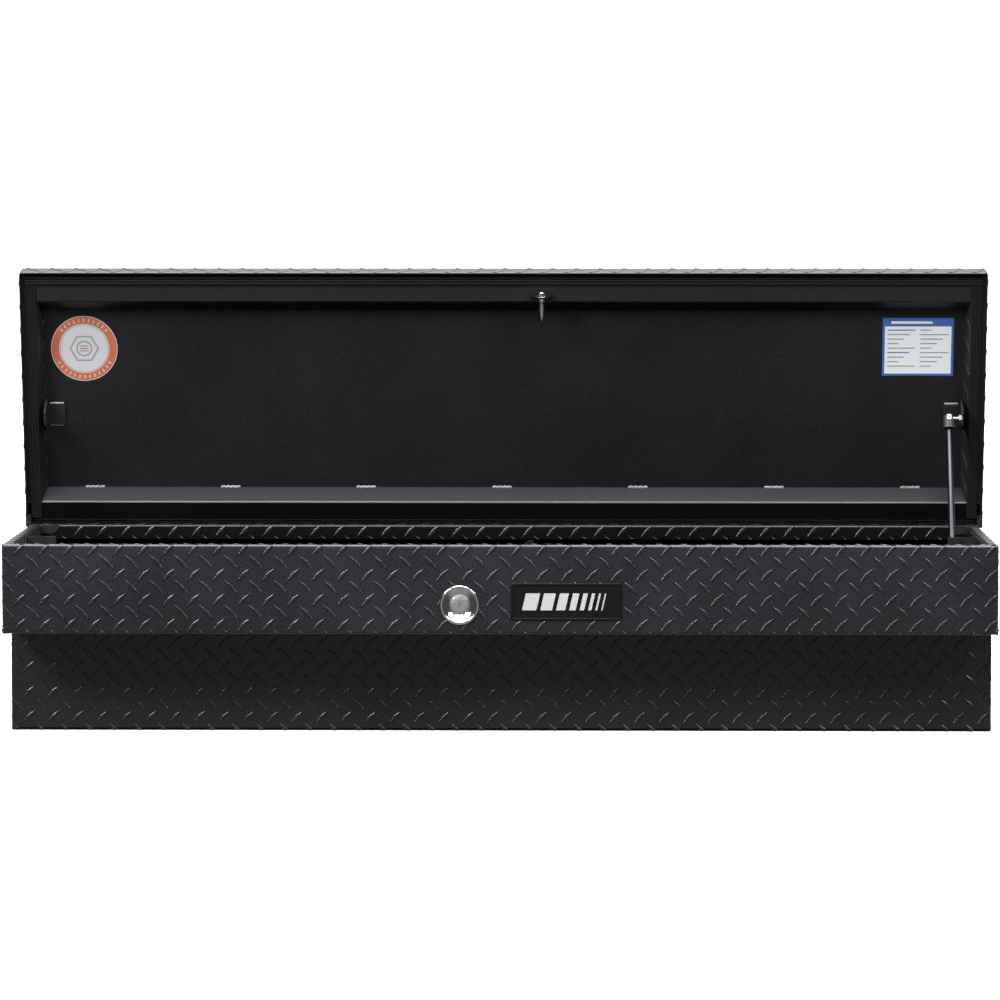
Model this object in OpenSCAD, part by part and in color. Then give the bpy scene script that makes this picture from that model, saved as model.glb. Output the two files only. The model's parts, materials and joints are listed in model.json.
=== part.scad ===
// Low side-mount tool box for a truck bed rail, in tread plate, with its lid open.
// +X is to the right, +Y is to the hinge side, +Z is up.
// The origin is on the underside of the floor, midway along it and midway between front and back walls.

/* [Box] */
// Outside length of the box
box_len = 1524; // [1200:1:1800]
// Outside depth of the upper section, front to back
box_depth = 406; // [380:1:440]
// Height of the rim above the underside of the floor
rim_z = 301; // [285:1:340]
// Height of the underside of the step that rests on the bed rail
step_z = 163; // [150:1:170]
// How far the lower front is set back behind the upper front
step_depth = 115; // [100:1:125]
// Thickness of the tread plate
sheet = 2; // [1.5:0.1:2.5]
// Width of the folded rim, on all four sides
rim_w = 17; // [15:1:20]
// Drop of the rim's return lip
lip_drop = 22; // [16:1:26]

/* [Lid] */
// How far the lid stands open
open_angle = 79; // [60:1:85]
// Outside length of the lid
lid_len = 1544; // [1538:1:1552]
// Distance from the hinge axis to the lid's front face
lid_reach = 416; // [414:0.5:420]
// Height of the lid's skirt
skirt_h = 36; // [34:1:38]
// Depth from the lid's top to the flat face of its stiffening channels
channel_h = 26; // [24:1:26]
// Thickness of the stiffening channels
channel_t = 1.5; // [1.2:0.1:2]
// Width of the weather seal
seal_w = 17; // [14:1:17]
// Thickness of the weather seal
seal_t = 4; // [3:0.5:4]

/* [Hinge] */
// Number of hinge knuckles along the lid
knuckle_count = 30; // [20:2:40]
// Outside radius of a knuckle
knuckle_r = 3.5; // [3.2:0.1:3.5]
// Radius of the hinge pin
hinge_pin_r = 2; // [1.5:0.1:2.2]

/* [Gas strut] */
// Radius of the strut's rod
rod_r = 5; // [4:0.5:5]
// Outside radius of the strut's cylinder
tube_r = 11; // [10:0.5:11]
// Radius of the ball on each stud
ball_r = 5; // [4.5:0.1:5]

/* [Lock] */
// Distance of the push button from the middle of the box, to the left
lock_offset = 61; // [40:1:80]
// Height of the push button
lock_z = 208; // [205:1:212]
// Radius of the lock's dished bezel
bezel_r = 30.5; // [28:0.5:32]
// Travel of the push button
press = 6; // [4:0.5:6]

/* [Latch] */
// Distance of the latch from the middle of the box, to the right
latch_x = 62; // [58:1:66]
// Radius of the striker bolt
striker_r = 4.2; // [3.5:0.1:4.2]

/* [Hidden] */
$fn = 48;

end_x = box_len / 2;
front_y = -box_depth / 2;
back_y = box_depth / 2;
low_y = front_y + step_depth;
inner_x = end_x - sheet;
wall_top = rim_z - sheet;
lip_z = wall_top - lip_drop;
lip_x = end_x - rim_w;

// Lid, described closed and then swung open about the hinge axis
hinge_y = back_y + 4.5;
hinge_z = rim_z;
seal_gap = 0.3;
lid_top = rim_z + seal_gap + seal_t + channel_h;
skin_z = lid_top - sheet;
skirt_z = lid_top - skirt_h;
flat_z = lid_top - channel_h;
lid_x = lid_len / 2;
lid_front_y = hinge_y - lid_reach;
hem_h = 13;
hem_x = lid_x - 2 * sheet;
hem_y = lid_front_y + 2 * sheet;
rear_y = back_y;
// The skirt on the ends runs back past the hinge axis
end_skirt_y = hinge_y + 0.5;
web_run = 19;
side_web_run = 8.5;
flat_front_y = hinge_y - 365.5;
flat_rear_y = hinge_y - 34;
flat_side_x = 746;
bracket_t = 2.5;

// Strut, between a ball on the lid and a ball low on the end wall
strut_x = 713;
ball_y = hinge_y - 178;
ball_z = lid_top - 41;
lower_y = -45;
lower_z = 25;
// Where the lid's ball is with the lid open
open_y = hinge_y + (ball_y - hinge_y) * cos(open_angle) + (ball_z - hinge_z) * sin(open_angle);
open_z = hinge_z - (ball_y - hinge_y) * sin(open_angle) + (ball_z - hinge_z) * cos(open_angle);
strut_len = sqrt(pow(open_y - lower_y, 2) + pow(open_z - lower_z, 2));
strut_tilt = atan2(open_y - lower_y, open_z - lower_z);
closed_len = sqrt(pow(ball_y - lower_y, 2) + pow(ball_z - lower_z, 2));
stroke = strut_len - closed_len;
gland_l = 10;
piston_l = 5;
socket_r = 8.5;
socket_drop = 17;
cylinder_floor = 14.5;
// With the lid closed the socket stops just above the cylinder's mouth
tube_reach = closed_len - socket_drop - 2.5;
assert(stroke < tube_reach - gland_l - piston_l - cylinder_floor, "the piston would reach the cylinder's end");

// Lock and link
lock_x = -lock_offset;
button_r = 13;
plug_r = 9.75;
cup_r = 24.5;
cup_depth = 8;
barrel_r = 17;
barrel_back = 19 + press;
tail_end = 33;
run = 0.05;
crank_x = lock_x + 26;
crank_y = front_y + 38;
crank_arm = 20;
crank_t = 3;
rod_y = crank_y + crank_arm;

// Latch
bolt_z = lid_top - 46;
bolt_head_y = hinge_y - 386;
bolt_tip_y = hinge_y - 335;
claw_x = latch_x - 13;
claw_y = rod_y + 3;
claw_t = 6;
plate_t = 2.5;
plate_front_y = claw_y - 8.5;
plate_rear_y = claw_y + claw_t + 6;
trigger_x = latch_x - 14;
trigger_z = lock_z + 33;
trigger_t = 4;

module box_between(a, b) { translate(a) cube(b - a); }

// Extrudes an outline drawn in Y and Z along X
module along_x(x0, x1) { translate([x0, 0, 0]) rotate([90, 0, 90]) linear_extrude(x1 - x0) children(); }

// Extrudes an outline drawn in X and Z along Y
module along_y(y0, y1) { translate([0, y1, 0]) rotate([90, 0, 0]) linear_extrude(y1 - y0) children(); }

module rod_x(r, x0, x1) { translate([x0, 0, 0]) rotate([0, 90, 0]) cylinder(r = r, h = x1 - x0); }

module rod_y_axis(r, y0, y1) { translate([0, y1, 0]) rotate([90, 0, 0]) cylinder(r = r, h = y1 - y0); }

// Places a part that is drawn on the closed lid where the open lid holds it
module on_open_lid() {
    translate([0, hinge_y, hinge_z]) rotate([-open_angle, 0, 0]) translate([0, -hinge_y, -hinge_z]) children();
}

// Places a part that is drawn along +Z from the strut's lower pivot
module on_strut() { translate([strut_x, lower_y, lower_z]) rotate([-strut_tilt, 0, 0]) children(); }

// Draws a right-hand part on the left when side is -1
module mirrored(side) {
    if (side < 0) mirror([1, 0, 0]) children();
    else children();
}

// ---- Box ----

module front_apron() {
    color("#3a3a3e") difference() {
        box_between([-inner_x, front_y, step_z + sheet], [inner_x, front_y + sheet, wall_top]);
        translate([lock_x, 0, lock_z]) rod_y_axis(cup_r + 0.2, front_y - 1, front_y + sheet + 1);
    }
}

module step_panel() {
    color("#242425") box_between([-inner_x, front_y, step_z], [inner_x, low_y, step_z + sheet]);
}

module lower_front_panel() {
    color("#242425") box_between([-inner_x, low_y, sheet], [inner_x, low_y + sheet, step_z + sheet]);
}

module floor_panel() {
    color("#242425") box_between([-inner_x, low_y, 0], [inner_x, back_y, sheet]);
}

module back_panel() {
    color("#1c1c1e") box_between([-inner_x, back_y - sheet, sheet], [inner_x, back_y, wall_top]);
}

module end_panel(x) {
    along_x(x, x + sheet) polygon([[front_y, step_z], [front_y, wall_top], [back_y, wall_top],
        [back_y, 0], [low_y, 0], [low_y, step_z]]);
}

module end_panel_left() { color("#2a2a2c") end_panel(-end_x); }

module end_panel_right() { color("#2a2a2c") end_panel(inner_x); }

module rim_front() {
    color("#3a3a3e") {
        box_between([-end_x, front_y, wall_top], [end_x, front_y + rim_w, rim_z]);
        box_between([-lip_x, front_y + rim_w - sheet, lip_z], [lip_x, front_y + rim_w, wall_top]);
    }
}

module rim_back() {
    color("#3a3a3e") {
        box_between([-end_x, back_y - rim_w, wall_top], [end_x, back_y, rim_z]);
        box_between([-lip_x, back_y - rim_w, lip_z], [lip_x, back_y - rim_w + sheet, wall_top]);
    }
}

module rim_side() {
    box_between([lip_x, front_y + rim_w, wall_top], [end_x, back_y - rim_w, rim_z]);
    box_between([lip_x, front_y + rim_w, lip_z], [lip_x + sheet, back_y - rim_w, wall_top]);
}

module rim_left() { color("#3a3a3e") mirrored(-1) rim_side(); }

module rim_right() { color("#3a3a3e") rim_side(); }

// Plate with one rounded corner that backs the rim where the lips meet
module corner_gusset() {
    gusset_w = 29;
    gusset_r = 12;
    along_y(back_y - rim_w - sheet, back_y - rim_w) {
        translate([lip_x - gusset_w, wall_top - 13 + gusset_r]) square([gusset_w, 13 - gusset_r]);
        translate([lip_x - gusset_w + gusset_r, wall_top - 13]) square([gusset_w - gusset_r, 13]);
        intersection() {
            translate([lip_x - gusset_w + gusset_r, wall_top - 13 + gusset_r]) circle(gusset_r);
            translate([lip_x - gusset_w, wall_top - 13]) square([gusset_r, gusset_r]);
        }
    }
}

module corner_gusset_left() { color("#242425") mirrored(-1) corner_gusset(); }

module corner_gusset_right() { color("#242425") corner_gusset(); }

// Folded plate under the rim that stiffens the end wall, in front of the strut
module end_brace() {
    brace_x = 699;
    post_w = 17;
    brace_y = -12;
    along_y(brace_y - 2.5, brace_y) polygon([[brace_x, 250], [brace_x, wall_top - 1.5],
        [lip_x, wall_top - 1.5], [lip_x, lip_z - 1], [inner_x, lip_z - 1], [inner_x, 250]]);
    box_between([brace_x, brace_y - 10, 250], [brace_x + post_w, brace_y - 2.5, wall_top - 1.5]);
    box_between([brace_x + post_w, brace_y - 10, lip_z + 5], [lip_x, brace_y - 2.5, lip_z + 7.5]);
}

module end_brace_left() { color("#202022") mirrored(-1) end_brace(); }

module end_brace_right() { color("#202022") end_brace(); }

// ---- Hinge ----

hinge_half = inner_x;
knuckle_pitch = 2 * hinge_half / knuckle_count;

// Every second knuckle, with a strip that carries it to its leaf
module knuckles(first, strip_z) {
    for (i = [first : 2 : knuckle_count - 1]) {
        x0 = -hinge_half + i * knuckle_pitch + 0.3;
        x1 = x0 + knuckle_pitch - 0.6;
        translate([0, hinge_y, hinge_z]) rod_x(knuckle_r, x0, x1);
        box_between([x0, back_y, min(hinge_z, strip_z)], [x1, back_y + 1.5, max(hinge_z, strip_z)]);
    }
}

module hinge_bore() { translate([0, hinge_y, hinge_z]) rod_x(hinge_pin_r + run, -end_x - 3, end_x + 3); }

module hinge_body_leaf() {
    color("#1c1c1e") difference() {
        union() {
            box_between([-hinge_half, back_y, 266], [hinge_half, back_y + 1.5, hinge_z - 4]);
            knuckles(0, hinge_z - 4);
        }
        hinge_bore();
    }
}

module hinge_pin() { color("#8a8a8e") translate([0, hinge_y, hinge_z]) rod_x(hinge_pin_r, -hinge_half - 2, hinge_half + 2); }

module hinge_lid_leaf() {
    color("#1c1c1e") on_open_lid() difference() {
        union() {
            box_between([-hinge_half, back_y, hinge_z + 4], [hinge_half, back_y + 1.5, skin_z - 2]);
            knuckles(1, hinge_z + 4);
        }
        hinge_bore();
    }
}

// ---- Lid ----

// Tread-plate skin with a skirt on all sides, hemmed on the front and the ends
module lid_skin() {
    color("#242426") on_open_lid() {
        box_between([-lid_x, lid_front_y, skin_z], [lid_x, rear_y, lid_top]);
        box_between([-lid_x, lid_front_y, skirt_z], [lid_x, lid_front_y + sheet, skin_z]);
        box_between([-hem_x, lid_front_y + sheet, skirt_z], [hem_x, hem_y, skirt_z + hem_h]);
        for (side = [-1, 1]) mirrored(side) {
            box_between([lid_x - sheet, lid_front_y + sheet, skirt_z], [lid_x, end_skirt_y, skin_z]);
            box_between([hem_x, lid_front_y + sheet, skirt_z], [lid_x - sheet, end_skirt_y, skirt_z + hem_h]);
            box_between([lid_x - sheet, rear_y, skin_z], [lid_x, end_skirt_y, lid_top]);
        }
        box_between([-hem_x, rear_y - sheet, rim_z + 2], [hem_x, rear_y, skin_z]);
    }
}

// Outline of the front channel in Y and Z: a flat that carries the seal, then a web up to the skin
module front_channel_outline(t) {
    polygon([[hem_y, flat_z], [flat_front_y, flat_z], [flat_front_y + web_run, skin_z],
        [flat_front_y + web_run - t, skin_z], [flat_front_y - t / 2, flat_z + t], [hem_y, flat_z + t]]);
}

module rear_channel_outline(t) {
    polygon([[rear_y - sheet, flat_z], [flat_rear_y, flat_z], [flat_rear_y - web_run, skin_z],
        [flat_rear_y - web_run + t, skin_z], [flat_rear_y + t / 2, flat_z + t], [rear_y - sheet, flat_z + t]]);
}

module lid_channel_front() {
    color("#2a2a2d") on_open_lid() along_x(-hem_x, hem_x) front_channel_outline(channel_t);
}

module lid_channel_rear() {
    color("#3d4046") on_open_lid() along_x(-hem_x, hem_x) rear_channel_outline(channel_t);
}

// Side channel, mitred against the front and rear channels
module lid_channel_side() {
    foot_x = flat_side_x - side_web_run;
    difference() {
        along_y(flat_front_y, flat_rear_y) polygon([[hem_x, flat_z], [flat_side_x, flat_z], [foot_x, skin_z],
            [foot_x + channel_t, skin_z], [flat_side_x + channel_t / 2, flat_z + channel_t],
            [hem_x, flat_z + channel_t]]);
        along_x(foot_x - 1, lid_x) polygon([[flat_front_y - 1, flat_z], [flat_front_y, flat_z],
            [flat_front_y + web_run, skin_z], [flat_front_y + web_run, skin_z + 1],
            [flat_front_y - 1, skin_z + 1]]);
        along_x(foot_x - 1, lid_x) polygon([[flat_rear_y + 1, flat_z], [flat_rear_y, flat_z],
            [flat_rear_y - web_run, skin_z], [flat_rear_y - web_run, skin_z + 1],
            [flat_rear_y + 1, skin_z + 1]]);
    }
}

module lid_channel_left() { color("#232325") on_open_lid() mirrored(-1) lid_channel_side(); }

module lid_channel_right() { color("#232325") on_open_lid() lid_channel_side(); }

// Ribbed rubber strip, drawn across its width with the ribs pointing down
module seal_outline() {
    ribs = 4;
    rib_w = seal_w / ribs;
    translate([0, seal_t / 2]) square([seal_w, seal_t / 2]);
    for (i = [0 : ribs - 1])
        translate([i * rib_w + rib_w * 0.15, 0]) square([rib_w * 0.7, seal_t / 2]);
}

module seal_front() {
    color("#2e2e30") on_open_lid() along_x(-lip_x - seal_w, lip_x + seal_w)
        translate([front_y, flat_z - seal_t]) seal_outline();
}

module seal_side() {
    along_y(front_y + seal_w, rear_y - 4) translate([flat_side_x, flat_z - seal_t]) seal_outline();
}

module seal_left() { color("#2e2e30") on_open_lid() mirrored(-1) seal_side(); }

module seal_right() { color("#2e2e30") on_open_lid() seal_side(); }

module round_sticker() {
    color("#c8785a") on_open_lid() translate([-673, hinge_y - 283, skin_z - 0.3]) cylinder(r = 53.5, h = 0.3, $fn = 96);
}

module care_label() {
    color("#f0f0f0") on_open_lid()
        box_between([607.5, hinge_y - 334, skin_z - 0.3], [721, hinge_y - 239, skin_z]);
}

// Angle bracket: one leg on the lid's skin, one leg beside the channel that holds a ball stud
module lid_strut_bracket() {
    web_x = 733.5;
    difference() {
        union() {
            box_between([706, hinge_y - 191, skin_z - bracket_t], [web_x, hinge_y - 158, skin_z]);
            along_x(web_x, web_x + bracket_t) polygon([[hinge_y - 200, skin_z], [hinge_y - 156, skin_z],
                [hinge_y - 156, skin_z - 24], [hinge_y - 168, ball_z - 9], [hinge_y - 188, ball_z - 9],
                [hinge_y - 200, skin_z - 24]]);
        }
        translate([0, ball_y, ball_z]) rod_x(4, web_x - 1, web_x + bracket_t + 1);
    }
}

module lid_strut_bracket_left() { color("#202022") on_open_lid() mirrored(-1) lid_strut_bracket(); }

module lid_strut_bracket_right() { color("#202022") on_open_lid() lid_strut_bracket(); }

// Ball, neck, hexagon and threaded end on one stud, with its nut
module ball_stud(hex_x, thread_end) {
    rotate([0, 0, 180]) sphere(r = ball_r);
    rod_x(3, 0, hex_x);
    translate([hex_x, 0, 0]) rotate([0, 90, 0]) cylinder(r = 7.5, h = 5, $fn = 6);
    rod_x(4, hex_x + 5, thread_end);
}

module lid_ball_stud() {
    color("silver") on_open_lid() translate([strut_x, ball_y, ball_z]) ball_stud(15.5, 23.5);
}

// Upright leg with a rounded head that carries the striker bolt
module striker_bracket() {
    leg_y = hinge_y - 377;
    leg_w = 17;
    color("#2a2a2d") on_open_lid() difference() {
        union() {
            box_between([latch_x - leg_w, leg_y, flat_z - plate_t], [latch_x + leg_w, leg_y + 11, flat_z]);
            box_between([latch_x - leg_w, leg_y - plate_t, bolt_z + 6], [latch_x + leg_w, leg_y, flat_z]);
            translate([latch_x, 0, bolt_z + 6]) intersection() {
                rod_y_axis(leg_w, leg_y - plate_t, leg_y);
                box_between([-leg_w, leg_y - plate_t, -leg_w], [leg_w, leg_y, 0]);
            }
        }
        translate([latch_x, 0, bolt_z]) rod_y_axis(striker_r, leg_y - plate_t - 1, leg_y + 1);
    }
}

module striker_bolt() {
    tip_l = 5;
    color("silver") on_open_lid() translate([latch_x, 0, bolt_z]) {
        rod_y_axis(striker_r, bolt_head_y, bolt_tip_y - tip_l);
        translate([0, bolt_tip_y - tip_l, 0]) rotate([-90, 0, 0]) cylinder(r1 = striker_r, r2 = 2.2, h = tip_l);
    }
}

module striker_nuts() {
    color("silver") on_open_lid() translate([latch_x, 0, bolt_z]) difference() {
        union() {
            translate([0, bolt_head_y + 1, 0]) rotate([-90, 0, 0]) cylinder(r = 6.2, h = 5, $fn = 6);
            rod_y_axis(5.8, hinge_y - 377, hinge_y - 370.5);
            rod_y_axis(11, hinge_y - 380.1, hinge_y - 379.5);
        }
        rod_y_axis(striker_r, bolt_head_y, bolt_tip_y);
    }
}

// ---- Gas strut ----

module strut_rod() {
    rod_bottom = strut_len - (tube_reach - gland_l) + piston_l + 1;
    color("#b8b8bc") on_strut() {
        translate([0, 0, strut_len - rod_bottom]) cylinder(r = tube_r - 1.2, h = piston_l);
        translate([0, 0, strut_len - rod_bottom + piston_l])
            cylinder(r = rod_r, h = rod_bottom - piston_l - socket_drop + 4);
    }
}

// Moulded end fitting with a pocket for the ball, open towards the stud
module strut_socket() {
    pocket_r = ball_r + 0.4;
    color("#202022") on_strut() translate([0, 0, strut_len]) difference() {
        union() {
            translate([0, 0, -socket_drop]) cylinder(r = socket_r, h = socket_drop);
            intersection() {
                sphere(r = socket_r);
                translate([-socket_r, -socket_r, 0]) cube(2 * socket_r);
            }
        }
        sphere(r = pocket_r);
        rod_x(pocket_r, 0, socket_r + 1);
        translate([0, 0, -socket_drop - 1]) cylinder(r = rod_r, h = 5);
    }
}

module strut_clip() {
    color("silver") on_strut() translate([-3.2, -socket_r - 1.2, strut_len - 4.5]) difference() {
        cube([6.4, 1.2, 8]);
        translate([2, -1, 2.2]) cube([2.4, 3.2, 3.6]);
    }
}

module strut_cylinder() {
    color("#19191b") on_strut() difference() {
        translate([0, 0, 12]) cylinder(r = tube_r, h = tube_reach - 12);
        translate([0, 0, cylinder_floor]) cylinder(r = tube_r - 1, h = tube_reach);
    }
}

module strut_gland() {
    color("#3a3a3c") on_strut() translate([0, 0, tube_reach - gland_l]) difference() {
        cylinder(r = tube_r - 1, h = gland_l);
        translate([0, 0, -1]) cylinder(r = rod_r + run, h = gland_l + 2);
    }
}

// Eye that hangs beside the lower ball, clear of it
module strut_lower_eye() {
    color("#202022") on_strut() difference() {
        union() {
            rod_x(8, -6, 6);
            translate([0, 0, 4]) cylinder(r = 6, h = 8);
        }
        rod_x(5.4, -7, 7);
    }
}

module strut_body_bracket() {
    color("#202022") difference() {
        box_between([inner_x - bracket_t, lower_y - 18, lower_z - 20], [inner_x, lower_y + 26, lower_z + 22]);
        translate([0, lower_y, lower_z]) rod_x(4, inner_x - bracket_t - 1, inner_x + 1);
    }
}

module body_ball_stud() {
    stud_x = strut_x + 6.5 + ball_r;
    color("silver") translate([stud_x, lower_y, lower_z]) {
        rotate([0, 0, 180]) sphere(r = ball_r);
        rod_x(3, 0, 20);
        translate([20, 0, 0]) rotate([0, 90, 0]) cylinder(r = 7.5, h = inner_x - bracket_t - stud_x - 20, $fn = 6);
        rod_x(4, inner_x - bracket_t - stud_x, inner_x - stud_x);
    }
}

// ---- Lock ----

// Dished bezel and barrel, turned about an axis that points out of the front
module lock_bezel() {
    dish_r = 38;
    dish_z = 30.3;
    color("silver") translate([lock_x, front_y, lock_z]) rotate([90, 0, 0]) rotate_extrude($fn = 96)
        polygon(concat([[button_r + run, -barrel_back], [barrel_r, -barrel_back], [barrel_r, -cup_depth],
            [cup_r, -cup_depth], [cup_r, 0], [bezel_r, 0], [bezel_r, 1.6], [bezel_r - 1, 2.8],
            [bezel_r - 2.2, 3.2]],
            [for (a = [43 : -3 : 22]) [dish_r * sin(a), dish_z - dish_r * cos(a)]],
            [[button_r + run, -cup_depth + 2]]));
}

module lock_button() {
    color("silver") translate([lock_x, front_y, lock_z]) difference() {
        union() {
            rod_y_axis(button_r, 1.5, barrel_back - 1);
            rod_y_axis(2, barrel_back - 1, tail_end);
        }
        rod_y_axis(plug_r + run, 0, 20);
    }
}

module key_plug() {
    color("silver") translate([lock_x, front_y, lock_z]) difference() {
        rod_y_axis(plug_r, 0.9, 20);
        box_between([-1.3, 0, -6.5], [1.3, 7, 6.5]);
    }
}

module lock_nut() {
    color("#8a8a8e") translate([lock_x, front_y, lock_z]) difference() {
        rod_y_axis(27, sheet, sheet + 5);
        rod_y_axis(cup_r, 0, 12);
    }
}

// Angle bracket on the apron whose shelf carries the bell crank
module crank_bracket() {
    shelf_z = lock_z - crank_t / 2 - 5;
    color("#202022") {
        box_between([crank_x + 3, front_y + sheet, shelf_z - 20], [crank_x + 20, front_y + sheet + 2, shelf_z]);
        translate([0, 0, shelf_z - 2]) linear_extrude(2) polygon([[crank_x + 3, front_y + sheet + 2],
            [crank_x + 20, front_y + sheet + 2], [crank_x + 20, crank_y + 7], [crank_x - 7, crank_y + 7],
            [crank_x - 7, front_y + 9], [crank_x + 3, front_y + 9]]);
        translate([crank_x, crank_y, shelf_z]) cylinder(r = 2.5, h = 11);
    }
}

module bell_crank() {
    reach = crank_x - lock_x;
    color("#8a8a8e") translate([crank_x, crank_y, lock_z - crank_t / 2]) difference() {
        union() {
            cylinder(r = 6, h = crank_t);
            translate([-reach - 4, -4, 0]) cube([reach + 4, 8, crank_t]);
            translate([-4, 0, 0]) cube([8, crank_arm, crank_t]);
            translate([0, crank_arm, 0]) cylinder(r = 4, h = crank_t);
            translate([0, crank_arm, crank_t]) cylinder(r = 2, h = 7);
        }
        translate([0, 0, -1]) cylinder(r = 2.5 + run, h = crank_t + 2);
    }
}

// Straight rod with a flat eye at each end: one over the crank's pin, one over the trigger's
module link_rod() {
    link_z = lock_z + 5;
    rod_start = crank_x + 5.5;
    rod_end = trigger_x - 5.5;
    color("#b0b0b4") {
        translate([crank_x, rod_y, link_z - 1.5]) difference() {
            cylinder(r = 6.5, h = 3);
            translate([0, 0, -1]) cylinder(r = 3.4, h = 5);
        }
        translate([0, rod_y, link_z]) rod_x(1.5, rod_start, rod_end);
        translate([trigger_x, rod_y, link_z]) difference() {
            rod_y_axis(6.5, -1.5, 1.5);
            rod_y_axis(3.6, -3, 3);
        }
    }
}

// ---- Latch ----

module latch_bracket() {
    shelf_z = trigger_z + 14;
    color("#202022") {
        box_between([latch_x - 34, front_y + sheet, shelf_z - 26], [latch_x + 30, front_y + sheet + 2.5, shelf_z]);
        difference() {
            box_between([latch_x - 34, front_y + sheet + 2.5, shelf_z - 2.5], [latch_x + 30, plate_rear_y + plate_t, shelf_z]);
            box_between([trigger_x - 16, claw_y - 3, shelf_z - 4], [trigger_x + 12, claw_y + claw_t + 3, shelf_z + 1]);
        }
    }
}

// Two plates with an open slot for the striker bolt
module latch_housing() {
    shelf_z = trigger_z + 14;
    color("#6a6a6e") difference() {
        for (y = [plate_front_y, plate_rear_y])
            along_y(y, y + plate_t) polygon([[latch_x - 30, shelf_z], [latch_x - 30, rim_z - 12],
                [latch_x - 22, rim_z - 4], [latch_x + 18, rim_z - 4], [latch_x + 26, rim_z - 12],
                [latch_x + 26, shelf_z]]);
        box_between([latch_x - 6.5, plate_front_y - 1, bolt_z], [latch_x + 6.5, plate_rear_y + 5, rim_z]);
        translate([latch_x, 0, bolt_z]) rod_y_axis(6.5, plate_front_y - 1, plate_rear_y + 5);
        translate([claw_x, 0, bolt_z]) rod_y_axis(2.5, plate_front_y - 1, plate_rear_y + 5);
    }
}

// Pivot pins of the claw and of the trigger
module latch_pins() {
    color("#b0b0b4") {
        translate([claw_x, 0, bolt_z]) rod_y_axis(2.5, plate_front_y, plate_rear_y + plate_t);
        translate([trigger_x, 0, trigger_z]) rod_y_axis(2.5, front_y + sheet + 2.5, claw_y + claw_t + 2);
    }
}

// Hook that swings over the striker bolt, drawn open
module latch_claw() {
    hook_r = 16.5;
    hub_r = 5.5;
    color("#b0b0b4") translate([claw_x, 0, bolt_z]) along_y(claw_y, claw_y + claw_t) difference() {
        union() {
            circle(hub_r);
            intersection() {
                circle(hook_r);
                polygon([[0, 0], 30 * [cos(82), sin(82)], 30 * [cos(115), sin(115)], 30 * [cos(160), sin(160)]]);
            }
        }
        circle(2.5 + run);
    }
}

// Lever between the link rod and the claw
module latch_trigger() {
    drop = trigger_z - (lock_z + 5);
    nose_z = bolt_z - 6.7;
    color("#8a8a8e") difference() {
        union() {
            along_y(claw_y, claw_y + trigger_t) {
                translate([trigger_x, trigger_z]) circle(6);
                translate([trigger_x - 4, trigger_z - drop]) square([8, nose_z - trigger_z + drop]);
                translate([trigger_x, trigger_z - drop]) circle(4);
            }
            translate([trigger_x, 0, trigger_z - drop]) rod_y_axis(2, rod_y - 3, claw_y);
        }
        translate([trigger_x, 0, trigger_z]) rod_y_axis(2.5 + run, claw_y - 1, claw_y + trigger_t + 1);
    }
}

// ---- Badge ----

badge_w = 170;
badge_h = 57;
badge_x = 102.5;
badge_z = 213.5;
badge_rim = 3.5;

module badge_outline(inset) {
    r = 4;
    translate([badge_x - badge_w / 2 + inset, badge_z - badge_h / 2 + inset + r])
        square([badge_w - 2 * inset, badge_h - 2 * inset - 2 * r]);
    translate([badge_x - badge_w / 2 + inset + r, badge_z - badge_h / 2 + inset])
        square([badge_w - 2 * inset - 2 * r, badge_h - 2 * inset]);
    for (sx = [-1, 1], sz = [-1, 1])
        translate([badge_x + sx * (badge_w / 2 - inset - r), badge_z + sz * (badge_h / 2 - inset - r)]) circle(r);
}

module badge_frame() {
    color("#101012") along_y(front_y - 2.4, front_y) difference() {
        badge_outline(0);
        badge_outline(badge_rim);
    }
}

module badge_plate() {
    color("#18181a") along_y(front_y - 1.4, front_y) badge_outline(badge_rim);
}

front_apron();
step_panel();
lower_front_panel();
floor_panel();
back_panel();
end_panel_left();
end_panel_right();
rim_front();
rim_back();
rim_left();
rim_right();
corner_gusset_left();
corner_gusset_right();
end_brace_left();
end_brace_right();
hinge_body_leaf();
hinge_pin();
hinge_lid_leaf();
lid_skin();
lid_channel_front();
lid_channel_rear();
lid_channel_left();
lid_channel_right();
seal_front();
seal_left();
seal_right();
round_sticker();
care_label();
lid_strut_bracket_left();
lid_strut_bracket_right();
lid_ball_stud();
striker_bracket();
striker_bolt();
striker_nuts();
strut_rod();
strut_socket();
strut_clip();
strut_cylinder();
strut_gland();
strut_lower_eye();
strut_body_bracket();
body_ball_stud();
lock_bezel();
lock_button();
key_plug();
lock_nut();
crank_bracket();
bell_crank();
link_rod();
latch_bracket();
latch_housing();
latch_pins();
latch_claw();
latch_trigger();
badge_frame();
badge_plate();
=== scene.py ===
# %% [markdown]
# # Truck tool box in black tread plate
# The frame comes packed: every sheet, hinge and latch part is already in its place, in metres.
# This script makes the surfaces that are looked at: folded sheets with real bend radii, raised
# tread lugs, welds, seals, the lock and the printed labels. Lengths below are in millimetres and
# turn into metres through MM.

# %% Load the frame
import json
import math

import bmesh
import bpy
from mathutils import Matrix, Vector


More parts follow.
